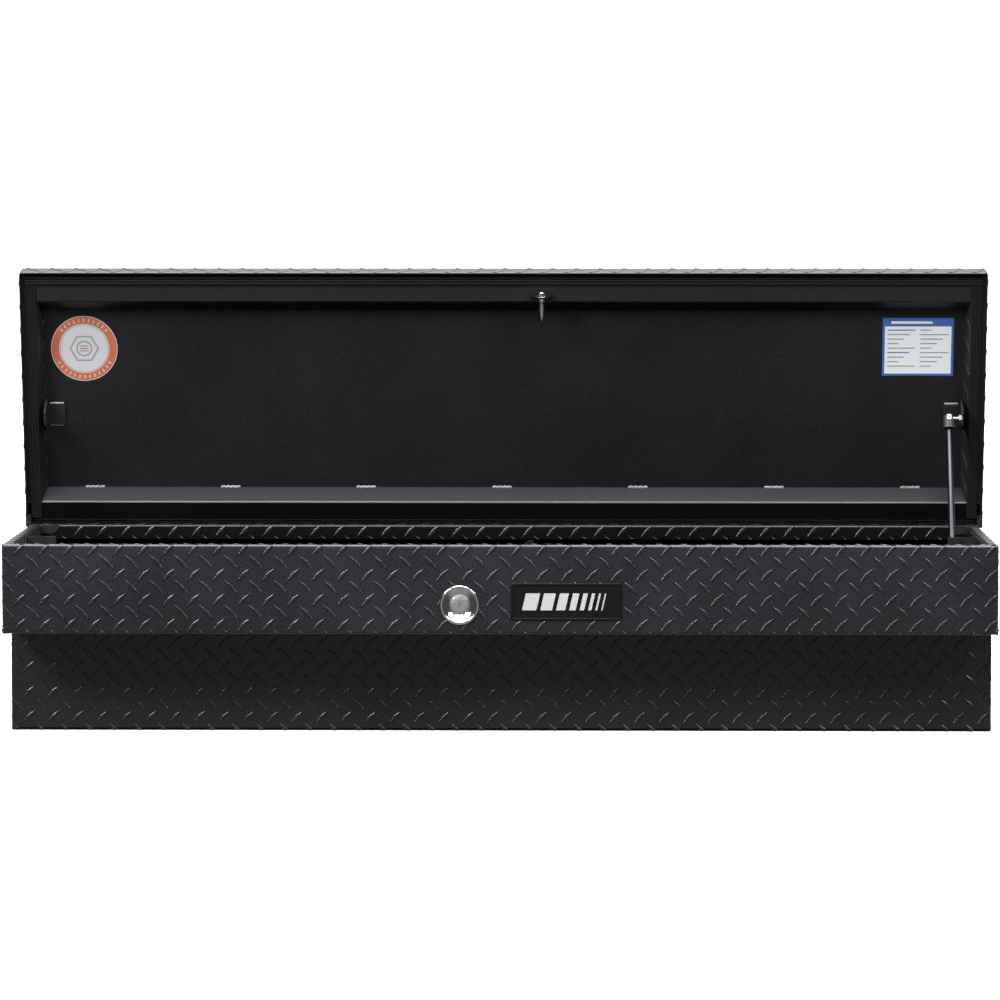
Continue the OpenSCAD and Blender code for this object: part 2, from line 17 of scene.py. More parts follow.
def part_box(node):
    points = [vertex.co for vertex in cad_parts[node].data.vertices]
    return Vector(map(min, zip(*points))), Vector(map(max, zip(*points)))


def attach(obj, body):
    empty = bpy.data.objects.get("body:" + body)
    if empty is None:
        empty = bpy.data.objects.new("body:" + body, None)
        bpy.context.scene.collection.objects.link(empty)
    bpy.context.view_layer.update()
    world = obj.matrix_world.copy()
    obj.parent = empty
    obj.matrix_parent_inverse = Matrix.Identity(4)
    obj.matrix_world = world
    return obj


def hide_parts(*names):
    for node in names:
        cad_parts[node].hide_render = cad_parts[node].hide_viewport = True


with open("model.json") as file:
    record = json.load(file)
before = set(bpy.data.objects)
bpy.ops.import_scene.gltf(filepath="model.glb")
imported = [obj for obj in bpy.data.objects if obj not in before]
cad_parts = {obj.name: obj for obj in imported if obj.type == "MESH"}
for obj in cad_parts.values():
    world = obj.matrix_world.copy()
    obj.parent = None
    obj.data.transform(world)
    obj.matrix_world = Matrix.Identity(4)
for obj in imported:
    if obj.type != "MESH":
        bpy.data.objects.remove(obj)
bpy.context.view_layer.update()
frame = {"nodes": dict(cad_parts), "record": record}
MM = 0.001
X_AXIS, Y_AXIS, Z_AXIS = Vector((1, 0, 0)), Vector((0, 1, 0)), Vector((0, 0, 1))
joints = {j["name"]: j for j in frame["record"]["behaviour"]["joints"]}

# %% [markdown]
# ## Stage
# The camera stands 7.5 m away with a long lens, a little above the lid, and looks down by 4.3
# degrees. Two key lights, the left one stronger, put a thin bright line on the upper edges of each
# lug, and a light overhead picks out the folds. The surroundings are bright behind and above the box,
# and dim in front and at the sides, so the black paint stays black and chrome has edges to reflect.

# %% Helpers for meshes and objects
def baked(bm, name):
    """Turns a bmesh into a mesh and frees it."""
    mesh = bpy.data.meshes.new(name)
    bm.to_mesh(mesh)
    bm.free()
    return mesh


def shown(name, data):
    """Object of a mesh, a light or a camera, linked to the scene."""
    made = bpy.data.objects.new(name, data)
    bpy.context.scene.collection.objects.link(made)
    return made


# %% Camera
camera_data = bpy.data.cameras.new("studio_camera")
camera_data.lens = 171.84
camera_data.sensor_width = 36
camera_data.clip_end = 200
camera = shown("studio_camera", camera_data)
camera.location = (0.11623, -7.47131, 0.91040)
camera.rotation_euler = (math.radians(90 - 4.256), 0, math.radians(0.909))
bpy.context.scene.camera = camera
bpy.context.scene.view_settings.view_transform = "Standard"


# %% Lights
def soft_light(name, place, target, size, power):
    """Square area light at a place, turned to a target."""
    data = bpy.data.lights.new(name, "AREA")
    data.size, data.energy = size, power
    light = shown(name, data)
    light.location = place
    light.rotation_euler = (Vector(target) - Vector(place)).to_track_quat("-Z", "Y").to_euler()


soft_light("key_left", (-3.6, -3.3, 3.8), (0, 0, 0.3), 2.0, 400)
soft_light("key_right", (3.6, -3.3, 3.8), (0, 0, 0.3), 1.6, 150)
soft_light("front_top", (0, -3.2, 4.6), (0, 0, 0.3), 3.0, 60)
soft_light("overhead", (0, 0.2, 3.6), (0, 0.1, 0.4), 3.4, 290)

# %% Surroundings
world = bpy.data.worlds.new("studio")
world.use_nodes = True
bpy.context.scene.world = world
sky = world.node_tree
sky.nodes.clear()
direction, split, seen, choose, glow, sky_out = (sky.nodes.new("ShaderNode" + kind) for kind in (
    "TexCoord", "SeparateXYZ", "LightPath", "Mix", "Background", "OutputWorld"))
behind, above, beside = (sky.nodes.new("ShaderNodeMapRange") for _ in range(3))
RAMP_SOCKETS = ("From Min", "From Max", "To Min", "To Max")
for ramp, values in ((behind, (-0.1, 0.5, 0.27, 1.0)), (above, (0.5, 0.75, 1.0, 4.0)),
                     (beside, (0.45, 0.75, 1.0, 0.25))):
    for socket, value in zip(RAMP_SOCKETS, values):
        ramp.inputs[socket].default_value = value
width, both, all_three = (sky.nodes.new("ShaderNodeMath") for _ in range(3))
width.operation, both.operation, all_three.operation = "ABSOLUTE", "MULTIPLY", "MULTIPLY"
choose.inputs["B"].default_value = 1.0
glow.inputs["Color"].default_value = (1, 1, 1, 1)
for output, socket in (
        (direction.outputs["Generated"], split.inputs[0]),
        (split.outputs["X"], width.inputs[0]), (width.outputs[0], beside.inputs["Value"]),
        (split.outputs["Y"], behind.inputs["Value"]), (split.outputs["Z"], above.inputs["Value"]),
        (behind.outputs["Result"], both.inputs[0]), (above.outputs["Result"], both.inputs[1]),
        (both.outputs[0], all_three.inputs[0]), (beside.outputs["Result"], all_three.inputs[1]),
        (seen.outputs["Is Camera Ray"], choose.inputs["Factor"]), (all_three.outputs[0], choose.inputs["A"]),
        (choose.outputs["Result"], glow.inputs["Strength"]), (glow.outputs[0], sky_out.inputs["Surface"])):
    sky.links.new(output, socket)


# %% [markdown]
# ## Shader helpers
# A finish is a node tree. `Wire` wraps one output socket, so maths on it reads as ordinary Python
# and adds its Math nodes. `Finish` adds every other node with one method.

# %% Shader helpers
class Wire:
    """One output socket of a finish, with arithmetic on values."""

    def __init__(self, finish, socket):
        self.finish, self.socket = finish, socket

    def maths(self, operation, other, turned=False):
        pair = (other, self) if turned else (self, other)
        node = self.finish.node("Math", {"operation": operation}, dict(enumerate(pair)))
        return Wire(self.finish, node.outputs[0])

    def __add__(self, other):
        return self.maths("ADD", other)

    def __sub__(self, other):
        return self.maths("SUBTRACT", other)

    def __rsub__(self, other):
        return self.maths("SUBTRACT", other, True)

    def __mul__(self, other):
        return self.maths("MULTIPLY", other)

    __radd__, __rmul__ = __add__, __mul__


class Finish:
    """A Principled material that is built up from wires."""

    def __init__(self, name, **constants):
        self.material = bpy.data.materials.new(name)
        self.material.use_nodes = True
        self.tree = self.material.node_tree
        self.shader = self.tree.nodes["Principled BSDF"]
        for socket, value in constants.items():
            self.shader.inputs[socket.replace("_", " ")].default_value = value
        self.place = self.wire(self.node("TexCoord"), "Object")

    def node(self, kind, settings=None, inputs=None):
        node = self.tree.nodes.new("ShaderNode" + kind)
        for key, value in (settings or {}).items():
            setattr(node, key, value)
        for key, value in (inputs or {}).items():
            if isinstance(value, Wire):
                self.tree.links.new(value.socket, node.inputs[key])
            else:
                node.inputs[key].default_value = value
        return node

    def wire(self, node, output=0):
        return Wire(self, node.outputs[output])

    def noise(self, scale, detail=2.0, stretch=(1, 1, 1)):
        """Noise in the piece's own metres; a stretch above 1 squeezes it along that axis."""
        place = self.node("Mapping", inputs={"Vector": self.place, "Scale": stretch})
        noise = self.node("TexNoise", inputs={"Vector": self.wire(place), "Scale": scale, "Detail": detail})
        return self.wire(noise, "Fac")

    def blend(self, mask, first, second):
        """Colour between two colours."""
        node = self.node("Mix", {"data_type": "RGBA"}, {0: mask, 6: (*first, 1), 7: (*second, 1)})
        return self.wire(node, 2)

    def use(self, socket, wire):
        self.tree.links.new(wire.socket, self.shader.inputs[socket])

    def bump(self, height, strength, distance):
        node = self.node("Bump", inputs={"Strength": strength, "Distance": distance, "Height": height})
        self.use("Normal", self.wire(node, "Normal"))


# %% [markdown]
# ## Finishes
# Powder coat is a baked plastic film: satin, almost black, with a fine orange-peel skin of about
# half a millimetre. Chrome, nickel and dark oxide are metals with small changes in roughness.
# Rubber and nylon are matt. Every one varies a little over the surface, as real parts do.

# %% Paint
def powder_coat(name, dark, light, roughness, peel, specular=0.5):
    """Baked powder coat: two close tones, a satin sheen and an orange-peel skin."""
    finish = Finish(name, Specular_IOR_Level=specular)
    patches = finish.noise(7.0, 3.0)
    grain, peel_skin = finish.noise(1900.0, 1.0), finish.noise(330.0, 1.0)
    mottle = (peel_skin - 0.5) * 1.6 + patches
    finish.use("Base Color", finish.blend(mottle, dark, light))
    finish.use("Roughness", patches * 0.1 + grain * 0.06 + (roughness - 0.08))
    finish.bump(grain * 0.5 + peel_skin, peel, 0.0005)
    return finish.material


tread_paint = powder_coat("tread_paint", (0.005, 0.005, 0.007), (0.024, 0.024, 0.029), 0.28, 0.4)
lid_paint = powder_coat("lid_paint", (0.005, 0.005, 0.006), (0.014, 0.014, 0.0165), 0.45, 0.2, 0.25)
channel_paint = powder_coat("channel_paint", (0.010, 0.010, 0.011), (0.018, 0.018, 0.020), 0.4, 0.2, 0.35)
slope_paint = powder_coat("slope_paint", (0.002, 0.0025, 0.005), (0.004, 0.0055, 0.010), 0.4, 0.2, 0.22)
# Painted highlight: a pale grey laid on the bend of the lid's rear channel as a bright edge line.
bend_highlight_paint = powder_coat("bend_highlight_paint", (0.05, 0.052, 0.057), (0.08, 0.083, 0.09), 0.3, 0.1, 0.8)
# Painted shade: near-black paint for faces that lie in shade, inside the box, on its lips, along the foot of the front
# and on the lid's rear flat.
painted_shade_black = powder_coat("painted_shade_black", (0.0015, 0.0015, 0.002), (0.003, 0.003, 0.0035), 0.5, 0.2, 0.08)
hinge_paint = powder_coat("hinge_paint", (0.003, 0.003, 0.003), (0.005, 0.005, 0.005), 0.8, 0.2, 0.0)
bracket_paint = powder_coat("bracket_paint", (0.010, 0.010, 0.011), (0.016, 0.016, 0.017), 0.42, 0.2, 0.4)
# Painted highlight: a pale grey for welds, standing in for the glints of light on them.
weld_highlight_paint = powder_coat("weld_highlight_paint", (0.16, 0.16, 0.165), (0.42, 0.42, 0.43), 0.3, 0.4)


# %% Metals
def metal(name, colour, roughness, spread, scale, stretch=(1, 1, 1)):
    """Bare or plated metal whose roughness wanders a little."""
    finish = Finish(name, Metallic=1.0)
    clouds = finish.noise(scale, 4.0, stretch)
    dull = tuple(0.82 * c for c in colour)
    finish.use("Base Color", finish.blend(clouds, colour, dull))
    finish.use("Roughness", clouds * spread + (roughness - spread / 2))
    finish.bump(finish.noise(scale * 12, 1.0, stretch), 0.05, 0.0001)
    return finish.material


chrome = metal("polished_chrome", (0.83, 0.83, 0.85), 0.09, 0.06, 60.0)
nickel = metal("satin_nickel", (0.80, 0.80, 0.81), 0.36, 0.08, 60.0)
oxide = metal("black_oxide_steel", (0.05, 0.05, 0.055), 0.45, 0.1, 90.0)
rod_steel = metal("ground_rod", (0.07, 0.073, 0.085), 0.3, 0.08, 40.0, (1, 1, 30))


# %% Rubber, plastic and print
def moulded(name, colour, roughness, grain_scale, peel, **constants):
    """Rubber or plastic with a fine moulded grain."""
    finish = Finish(name, **constants)
    grain = finish.noise(grain_scale, 2.0)
    finish.use("Base Color", finish.blend(grain, colour, tuple(1.3 * c for c in colour)))
    finish.use("Roughness", grain * 0.1 + (roughness - 0.05))
    finish.bump(grain, peel, 0.0002)
    return finish.material


rubber = moulded("seal_rubber", (0.007, 0.007, 0.007), 0.62, 900.0, 0.3, Specular_IOR_Level=0.2)
nylon = moulded("filled_nylon", (0.030, 0.030, 0.032), 0.5, 1200.0, 0.2)
gloss_black = moulded("gloss_black", (0.006, 0.006, 0.0065), 0.14, 300.0, 0.02, Specular_IOR_Level=0.2)
tube_paint = moulded("tube_paint", (0.010, 0.010, 0.011), 0.3, 700.0, 0.05)
print_white = moulded("print_white", (0.62, 0.64, 0.66), 0.35, 500.0, 0.03)
print_silver = moulded("print_silver", (0.46, 0.46, 0.47), 0.3, 500.0, 0.03)
print_orange = moulded("print_orange", (0.42, 0.115, 0.055), 0.35, 500.0, 0.03)
print_blue = moulded("print_blue", (0.035, 0.11, 0.33), 0.35, 500.0, 0.03)
print_grey = moulded("print_grey", (0.22, 0.23, 0.25), 0.4, 500.0, 0.03)
floor_white = moulded("floor_white", (0.62, 0.62, 0.62), 0.8, 3.0, 0.0, Emission_Color=(1, 1, 1, 1),
                      Emission_Strength=0.8)


# %% [markdown]
# ## Mesh helpers
# Sheet metal is a profile that is drawn once and drawn out. `folded` takes the line of the sheet's
# outer face and returns the closed outline of a sheet with rounded bends. `prism` draws an outline
# out, `sweep` takes it round a path, and `lathe` turns it.

# %% Places
def place(origin, u, v):
    """Matrix that puts local x along u, local y along v, and local z along their cross product."""
    u, v = Vector(u), Vector(v)
    return Matrix.Translation(Vector(origin)) @ Matrix((u, v, u.cross(v))).transposed().to_4x4()


ENDWISE = place((0, 0, 0), Y_AXIS, Z_AXIS)


# %% Outlines
def arc(before, corner, after, radius, steps=5):
    """Points that round one corner of a line."""
    into, out = (corner - before).normalized(), (after - corner).normalized()
    half = math.acos(max(-1, min(1, into.dot(out)))) / 2
    if radius <= 1e-6 or half < 1e-3:
        return [corner]
    back = min(radius * math.tan(half), 0.49 * (corner - before).length, 0.49 * (after - corner).length)
    start, end = corner - into * back, corner + out * back
    bend = back / math.tan(half)
    centre = corner + (out - into).normalized() * bend / math.cos(half)
    first, last = start - centre, end - centre
    sweep_angle = first.angle_signed(last)
    return [centre + Matrix.Rotation(-sweep_angle * i / steps, 2) @ first for i in range(steps + 1)]


def rounded(points, radii, steps=5):
    """Closed outline with a radius at each corner."""
    points = [Vector(p) for p in points]
    outline = []
    for i, corner in enumerate(points):
        outline += arc(points[i - 1], corner, points[(i + 1) % len(points)], radii[i], steps)
    return outline


def mitre(line, i, closed=False):
    """Vector to the left of a line at one of its points, long enough to shift both sides by 1."""
    if closed:
        line, i = [line[i - 1], line[i], line[(i + 1) % len(line)]], 1
    sides = [(b - a).normalized() for a, b in zip(line[max(i - 1, 0):i + 1], line[max(i, 1):i + 2])]
    total = sum((Vector((-s.y, s.x)) for s in sides), Vector((0, 0)))
    return total * (len(sides) / total.dot(total))


def folded(points, thick, bend):
    """Closed outline of a sheet: the line is one face, and the sheet lies on its left."""
    line = [Vector(p) for p in points]
    shifted = [point + mitre(line, i) * thick for i, point in enumerate(line)]
    face, back = [line[0]], [shifted[0]]
    for i in range(1, len(line) - 1):
        into, out = line[i] - line[i - 1], line[i + 1] - line[i]
        left_turn = into.x * out.y - into.y * out.x > 0
        radii = (bend, bend - thick) if left_turn else (bend - thick, bend)
        face += arc(line[i - 1], line[i], line[i + 1], radii[0])
        back += arc(shifted[i - 1], shifted[i], shifted[i + 1], radii[1])
    return face + [line[-1], shifted[-1]] + back[::-1]


# %% Solids
def skin_rings(bm, rings, closed_path=False, capped=True, index=0):
    """Joins rings of vertices with quads, and caps the ends."""
    faces = []
    count = len(rings[0])
    pairs = list(zip(rings, rings[1:])) + ([(rings[-1], rings[0])] if closed_path else [])
    for near, far in pairs:
        for i in range(count):
            j = (i + 1) % count
            corners = [near[i], near[j], far[j], far[i]]
            corners = [v for k, v in enumerate(corners) if v not in corners[:k]]
            if len(corners) > 2:
                faces.append(bm.faces.new(corners))
    if capped and not closed_path:
        for ring in (rings[0], rings[-1]):
            if len(set(ring)) > 2:
                faces.append(bm.faces.new(ring))
    for face in faces:
        face.material_index = index
    return faces


def prism(bm, outline, start, end, matrix, index=0):
    """Draws an outline in local x and y out along local z."""
    rings = [[bm.verts.new(matrix @ Vector((p[0], p[1], w))) for p in outline] for w in (start, end)]
    return skin_rings(bm, rings, index=index)


def sweep(bm, path, outline, matrix, closed=False):
    """Takes an outline (inward distance, height) along a path in local x and y, inside on its left."""
    path = [Vector(p) for p in path]
    rings = []
    for i, point in enumerate(path):
        inward = mitre(path, i, closed)
        rings.append([bm.verts.new(matrix @ Vector((point.x + inward.x * d, point.y + inward.y * d, h)))
                      for d, h in outline])
    return skin_rings(bm, rings, closed_path=closed)


def lathe(bm, profile, matrix, steps=64, closed=False, index=0):
    """Turns a profile of (radius, height) about local z; it starts and ends on the axis or is closed."""
    rings = []
    for radius, height in profile:
        if radius < 1e-7:
            rings.append([bm.verts.new(matrix @ Vector((0, 0, height)))] * steps)
        else:
            rings.append([bm.verts.new(matrix @ Vector((radius * math.cos(a), radius * math.sin(a), height)))
                          for a in (math.tau * i / steps for i in range(steps))])
    return skin_rings(bm, rings, closed_path=closed, capped=False, index=index)


def block(bm, low, high, matrix=Matrix(), index=0):
    """Box between two corners, in a local frame."""
    (x0, y0, z0), (x1, y1, z1) = low, high
    return prism(bm, [(x0, y0), (x1, y0), (x1, y1), (x0, y1)], z0, z1, matrix, index)


def cut_off(bm, spot, normal, **limits):
    """Cuts away what lies beyond a plane and closes the cut."""
    cut = bmesh.ops.bisect_plane(bm, geom=bm.verts[:] + bm.edges[:] + bm.faces[:], plane_co=spot, plane_no=normal,
                                 clear_outer=True, **limits)
    bmesh.ops.holes_fill(bm, edges=[e for e in cut["geom_cut"] if isinstance(e, bmesh.types.BMEdge)], sides=0)


def piece(name, bm, finishes, body, slot, *nodes, smooth=32, bevel=0.0):
    """Turns a bmesh into a finished piece that rides on a body and may stand for CAD nodes."""
    if bevel:
        edges = [e for e in bm.edges if len(e.link_faces) == 2 and e.calc_face_angle(0) > math.radians(40)]
        bmesh.ops.bevel(bm, geom=edges, offset=bevel, segments=2, affect="EDGES", clamp_overlap=True)
    bmesh.ops.recalc_face_normals(bm, faces=bm.faces)
    return settle(name, baked(bm, name), finishes, body, slot, *nodes, smooth=smooth)


def settle(name, mesh, finishes, body, slot, *nodes, smooth=32):
    """Names a mesh, gives it its finishes and its body."""
    if not mesh.materials:
        for finish in finishes if isinstance(finishes, (list, tuple)) else [finishes]:
            mesh.materials.append(finish)
    mesh.shade_smooth()
    mesh.set_sharp_from_angle(angle=math.radians(smooth))
    made = shown(name, mesh)
    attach(made, body)
    if nodes:
        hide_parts(*nodes)
    print(f"{name}: {len(mesh.polygons)} faces on {body}")
    return made


# %% Floor
bm = bmesh.new()
block(bm, (-40, -40, -0.02), (40, 60, 0))
bmesh.ops.recalc_face_normals(bm, faces=bm.faces)
floor = shown("studio_floor", baked(bm, "studio_floor"))
floor.data.materials.append(floor_white)
floor.visible_diffuse = False
floor.visible_glossy = False

# %% [markdown]
# ## Where things are
# The box is read from the frame's own nodes. The lid is easier to think of closed, so lid pieces
# are drawn in a frame that lies on the inside of its skin: x along the box, y away from the hinge,
# z towards the viewer. One matrix swings that frame open.

# %% Measures
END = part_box("end_panel_right")[1].x
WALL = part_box("front_apron")[1].x
FRONT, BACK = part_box("front_apron")[0].y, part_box("back_panel")[1].y
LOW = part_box("lower_front_panel")[0].y
STEP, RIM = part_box("step_panel")[0].z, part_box("rim_front")[1].z
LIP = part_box("rim_front")[0].z
SHEET = END - WALL
RIM_W = 17 * MM
LUG_H = 1.0 * MM
hinge_at = Vector(joints["lid_hinge"]["pos_m"])
swing = math.radians(joints["lid_hinge"]["range_deg"][1])
LID_OPEN = Matrix.Translation(hinge_at) @ Matrix.Rotation(-swing, 4, "X") @ Matrix.Translation(-hinge_at)
LID_TOP = hinge_at.z + 30.3 * MM
SKIN_T = 2 * MM
LID_IN = LID_OPEN @ place((0, hinge_at.y, LID_TOP - SKIN_T), X_AXIS, -Y_AXIS)
print("lid swings", round(math.degrees(swing), 2), "degrees about", [round(v, 4) for v in hinge_at])

# %% [markdown]
# ## Tread lugs
# Tread plate is rolled with raised bars that point one way and then the other. One lug is a small
# long rhombus. A Geometry Nodes tree repeats it on a square lattice, turned by 45 degrees, and on a
# second lattice half a pitch away, turned the other way. The lugs stop at the folds, so each panel
# is cut to its own edges afterwards.

# %% One lug
def lug_mesh(length=34 * MM, width=6.8 * MM, height=LUG_H):
    """Long rhombus with a flat top and steep rounded sides, its foot sunk a little into the plate."""
    bm = bmesh.new()
    stations = (-0.9, -0.7, -0.45, -0.2, -0.06, 0.06, 0.2, 0.45, 0.7, 0.9)
    slope = 1.4 * MM
    foot = -0.2 * height
    rings = []
    for t in stations:
        half = width / 2 * (1 - abs(t) ** 1.12) + 0.12 * MM
        top = height * min(1, (half / slope) ** 0.5)
        shoulder, crown = max(half - 0.33 * slope, 0.5 * half), max(half - slope, 0.12 * half)
        section = [(-half, foot), (-shoulder, 0.55 * top), (-crown, top), (crown, top), (shoulder, 0.55 * top),
                   (half, foot)]
        rings.append([bm.verts.new((t * length / 2, y, z)) for y, z in section])
    tips = [[bm.verts.new((s * length / 2, 0, foot))] * len(rings[0]) for s in (-1, 1)]
    skin_rings(bm, [tips[0]] + rings + [tips[1]], capped=False)
    bmesh.ops.recalc_face_normals(bm, faces=bm.faces)
    return baked(bm, "lug")


# %% Lattice tree
def lattice_tree():
    """Repeats the incoming mesh on a lattice, and if asked on a second one between its points."""
    tree = bpy.data.node_groups.new("Repeat on a lattice", "GeometryNodeTree")
    face, nodes, links = tree.interface, tree.nodes, tree.links
    face.new_socket("Geometry", in_out="INPUT", socket_type="NodeSocketGeometry")
    for name, kind, value in (("Columns", "Int", 2), ("Rows", "Int", 2), ("Pitch X", "Float", 0.04),
                              ("Pitch Y", "Float", 0.04), ("Turn", "Float", 0.0), ("Second", "Bool", True)):
        face.new_socket(name, in_out="INPUT", socket_type="NodeSocket" + kind).default_value = value
    face.new_socket("Finish", in_out="INPUT", socket_type="NodeSocketMaterial")
    face.new_socket("Geometry", in_out="OUTPUT", socket_type="NodeSocketGeometry")
    given, out = nodes.new("NodeGroupInput"), nodes.new("NodeGroupOutput")

    def maths(operation, a, b):
        node = nodes.new("ShaderNodeMath")
        node.operation = operation
        for slot, value in ((0, a), (1, b)):
            if isinstance(value, (int, float)):
                node.inputs[slot].default_value = value
            else:
                links.new(value, node.inputs[slot])
        return node.outputs[0]

    grid = nodes.new("GeometryNodeMeshGrid")
    for side, count, pitch in (("X", "Columns", "Pitch X"), ("Y", "Rows", "Pitch Y")):
        span = maths("MULTIPLY", maths("SUBTRACT", given.outputs[count], 1), given.outputs[pitch])
        links.new(span, grid.inputs["Size " + side])
        links.new(given.outputs[count], grid.inputs["Vertices " + side])
    half = nodes.new("ShaderNodeCombineXYZ")
    links.new(maths("MULTIPLY", given.outputs["Pitch X"], 0.5), half.inputs[0])
    links.new(maths("MULTIPLY", given.outputs["Pitch Y"], 0.5), half.inputs[1])
    between = nodes.new("GeometryNodeTransform")
    links.new(grid.outputs["Mesh"], between.inputs["Geometry"])
    links.new(half.outputs[0], between.inputs["Translation"])
    both = nodes.new("GeometryNodeJoinGeometry")
    switch = nodes.new("GeometryNodeSwitch")
    switch.input_type = "GEOMETRY"
    for points, sign in ((grid.outputs["Mesh"], 1), (between.outputs["Geometry"], -1)):
        turn = nodes.new("ShaderNodeCombineXYZ")
        links.new(maths("MULTIPLY", given.outputs["Turn"], sign), turn.inputs[2])
        copies = nodes.new("GeometryNodeInstanceOnPoints")
        links.new(points, copies.inputs["Points"])
        links.new(given.outputs["Geometry"], copies.inputs["Instance"])
        links.new(turn.outputs[0], copies.inputs["Rotation"])
        if sign > 0:
            links.new(copies.outputs[0], both.inputs[0])
        else:
            links.new(given.outputs["Second"], switch.inputs["Switch"])
            links.new(copies.outputs[0], switch.inputs["True"])
            links.new(switch.outputs[0], both.inputs[0])
    real = nodes.new("GeometryNodeRealizeInstances")
    paint = nodes.new("GeometryNodeSetMaterial")
    links.new(both.outputs[0], real.inputs[0])
    links.new(real.outputs[0], paint.inputs["Geometry"])
    links.new(given.outputs["Finish"], paint.inputs["Material"])
    links.new(paint.outputs[0], out.inputs[0])
    return tree


LATTICE = lattice_tree()


def repeat(mesh, finish, **values):
    """Runs the lattice tree on a mesh and returns the plain mesh that comes out."""
    carrier = shown("carrier", mesh)
    modifier = carrier.modifiers.new("lattice", "NODES")
    modifier.node_group = LATTICE
    names = {s.name: s.identifier for s in LATTICE.interface.items_tree if s.in_out == "INPUT"}
    for name, value in values.items():
        modifier[names[name.replace("_", " ")]] = value
    modifier[names["Finish"]] = finish
    evaluated = carrier.evaluated_get(bpy.context.evaluated_depsgraph_get())
    result = bpy.data.meshes.new_from_object(evaluated)
    bpy.data.objects.remove(carrier)
    return result


# %% Lugs on a panel
PITCH = 38.1 * MM
LUG = lug_mesh()


def lugs_on(bm, frame_of_panel, low, high, phase=(0.0, 0.0), pitch=(PITCH, PITCH), height=1.0):
    """Adds the lugs of one panel, cut to the rectangle from low to high in the panel's own x and y."""
    counts, starts = [], []
    for k in (0, 1):
        first = math.floor((low[k] - phase[k]) / pitch[k]) - 1
        last = math.ceil((high[k] - phase[k]) / pitch[k]) + 1
        counts.append(last - first + 1)
        starts.append(phase[k] + first * pitch[k])
    mesh = repeat(LUG, tread_paint, Columns=counts[0], Rows=counts[1], Pitch_X=pitch[0], Pitch_Y=pitch[1],
                  Turn=math.radians(45), Second=True)
    centre = [starts[k] + (counts[k] - 1) * pitch[k] / 2 for k in (0, 1)]
    mesh.transform(Matrix.Translation((*centre, 0)) @ Matrix.Diagonal((1, 1, height, 1)))
    part = bmesh.new()
    part.from_mesh(mesh)
    bpy.data.meshes.remove(mesh)
    for k in (0, 1):
        for edge, sign in ((low[k], -1), (high[k], 1)):
            spot, normal = Vector((0, 0, 0)), Vector((0, 0, 0))
            spot[k], normal[k] = edge, sign
            cut_off(part, spot, normal, dist=1e-7)
    bmesh.ops.transform(part, matrix=frame_of_panel, verts=part.verts)
    cut_mesh = baked(part, "cut_lugs")
    bm.from_mesh(cut_mesh)
    bpy.data.meshes.remove(cut_mesh)


def tread_piece(name, bm, body):
    """Turns lugs into a piece whose edges stay sharp above 24 degrees."""
    return piece(name, bm, tread_paint, body, "tread_black", smooth=24)


# %% Lugs on the box
EDGE = 2.6 * MM
FLOOR_Z = 0.45 * MM
FIRST_LUG = -733.6 * MM
bm = bmesh.new()
apron = place((0, FRONT, 0), X_AXIS, Z_AXIS)
lugs_on(bm, apron, (-WALL, STEP + EDGE), (WALL, RIM - EDGE), (-734.6 * MM, 293 * MM), (PITCH, 38.5 * MM))

# Lugs that reach under the lock's bezel are trimmed
CLEAR_OF_BEZEL = 26.5 * MM
lock = Vector((sum(v.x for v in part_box("lock_bezel")) / 2, FRONT, sum(v.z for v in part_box("lock_bezel")) / 2))
inside = [v for v in bm.verts if (v.co - lock).length < CLEAR_OF_BEZEL]
bmesh.ops.delete(bm, geom=inside, context="VERTS")
ragged = [e for e in bm.edges if e.is_boundary]
bmesh.ops.holes_fill(bm, edges=ragged, sides=0)
lower = place((0, LOW, 0), X_AXIS, Z_AXIS)
lugs_on(bm, lower, (-WALL, EDGE), (WALL, STEP - EDGE), (-735.4 * MM, 99.4 * MM), (PITCH, 38.7 * MM))
step_face = place((0, 0, STEP), X_AXIS, -Y_AXIS)
lugs_on(bm, step_face, (-WALL, -LOW + EDGE), (WALL, -FRONT - EDGE), (FIRST_LUG, 20 * MM))
tread_piece("tread_front", bm, "box")

bm = bmesh.new()
lugs_on(bm, place((0, BACK, 0), -X_AXIS, Z_AXIS), (-WALL, EDGE), (WALL, RIM - EDGE), (10 * MM, 12 * MM))
tread_piece("tread_back", bm, "box")

bm = bmesh.new()
for side in (-1, 1):
    panel = place((side * END, 0, 0), Y_AXIS * side, Z_AXIS)
    spans = [(LOW + EDGE, BACK - EDGE, EDGE, STEP), (FRONT + EDGE, BACK - EDGE, STEP, RIM - EDGE)]
    for y0, y1, z0, z1 in spans:
        y_low, y_high = sorted((side * y0, side * y1))
        lugs_on(bm, panel, (y_low, z0), (y_high, z1), (0, 14 * MM))
lugs_on(bm, place((0, 0, FLOOR_Z), X_AXIS, -Y_AXIS), (-WALL, -BACK + EDGE), (WALL, -LOW - EDGE), height=0.3)
tread_piece("tread_ends", bm, "box")

# %% [markdown]
# ## Box sheets
# One sheet is wrapped from the front rim's lip over the apron, the step, the lower front, the floor
# and the back to the rear rim's lip. Two end plates are welded in, each with its own folded rim.
# The fold line is drawn once, and the bends get a 4.5 mm radius that catches the light. The inside,
# the lips and the floor carry painted shade, and a narrow band at the foot of the front a painted shadow.

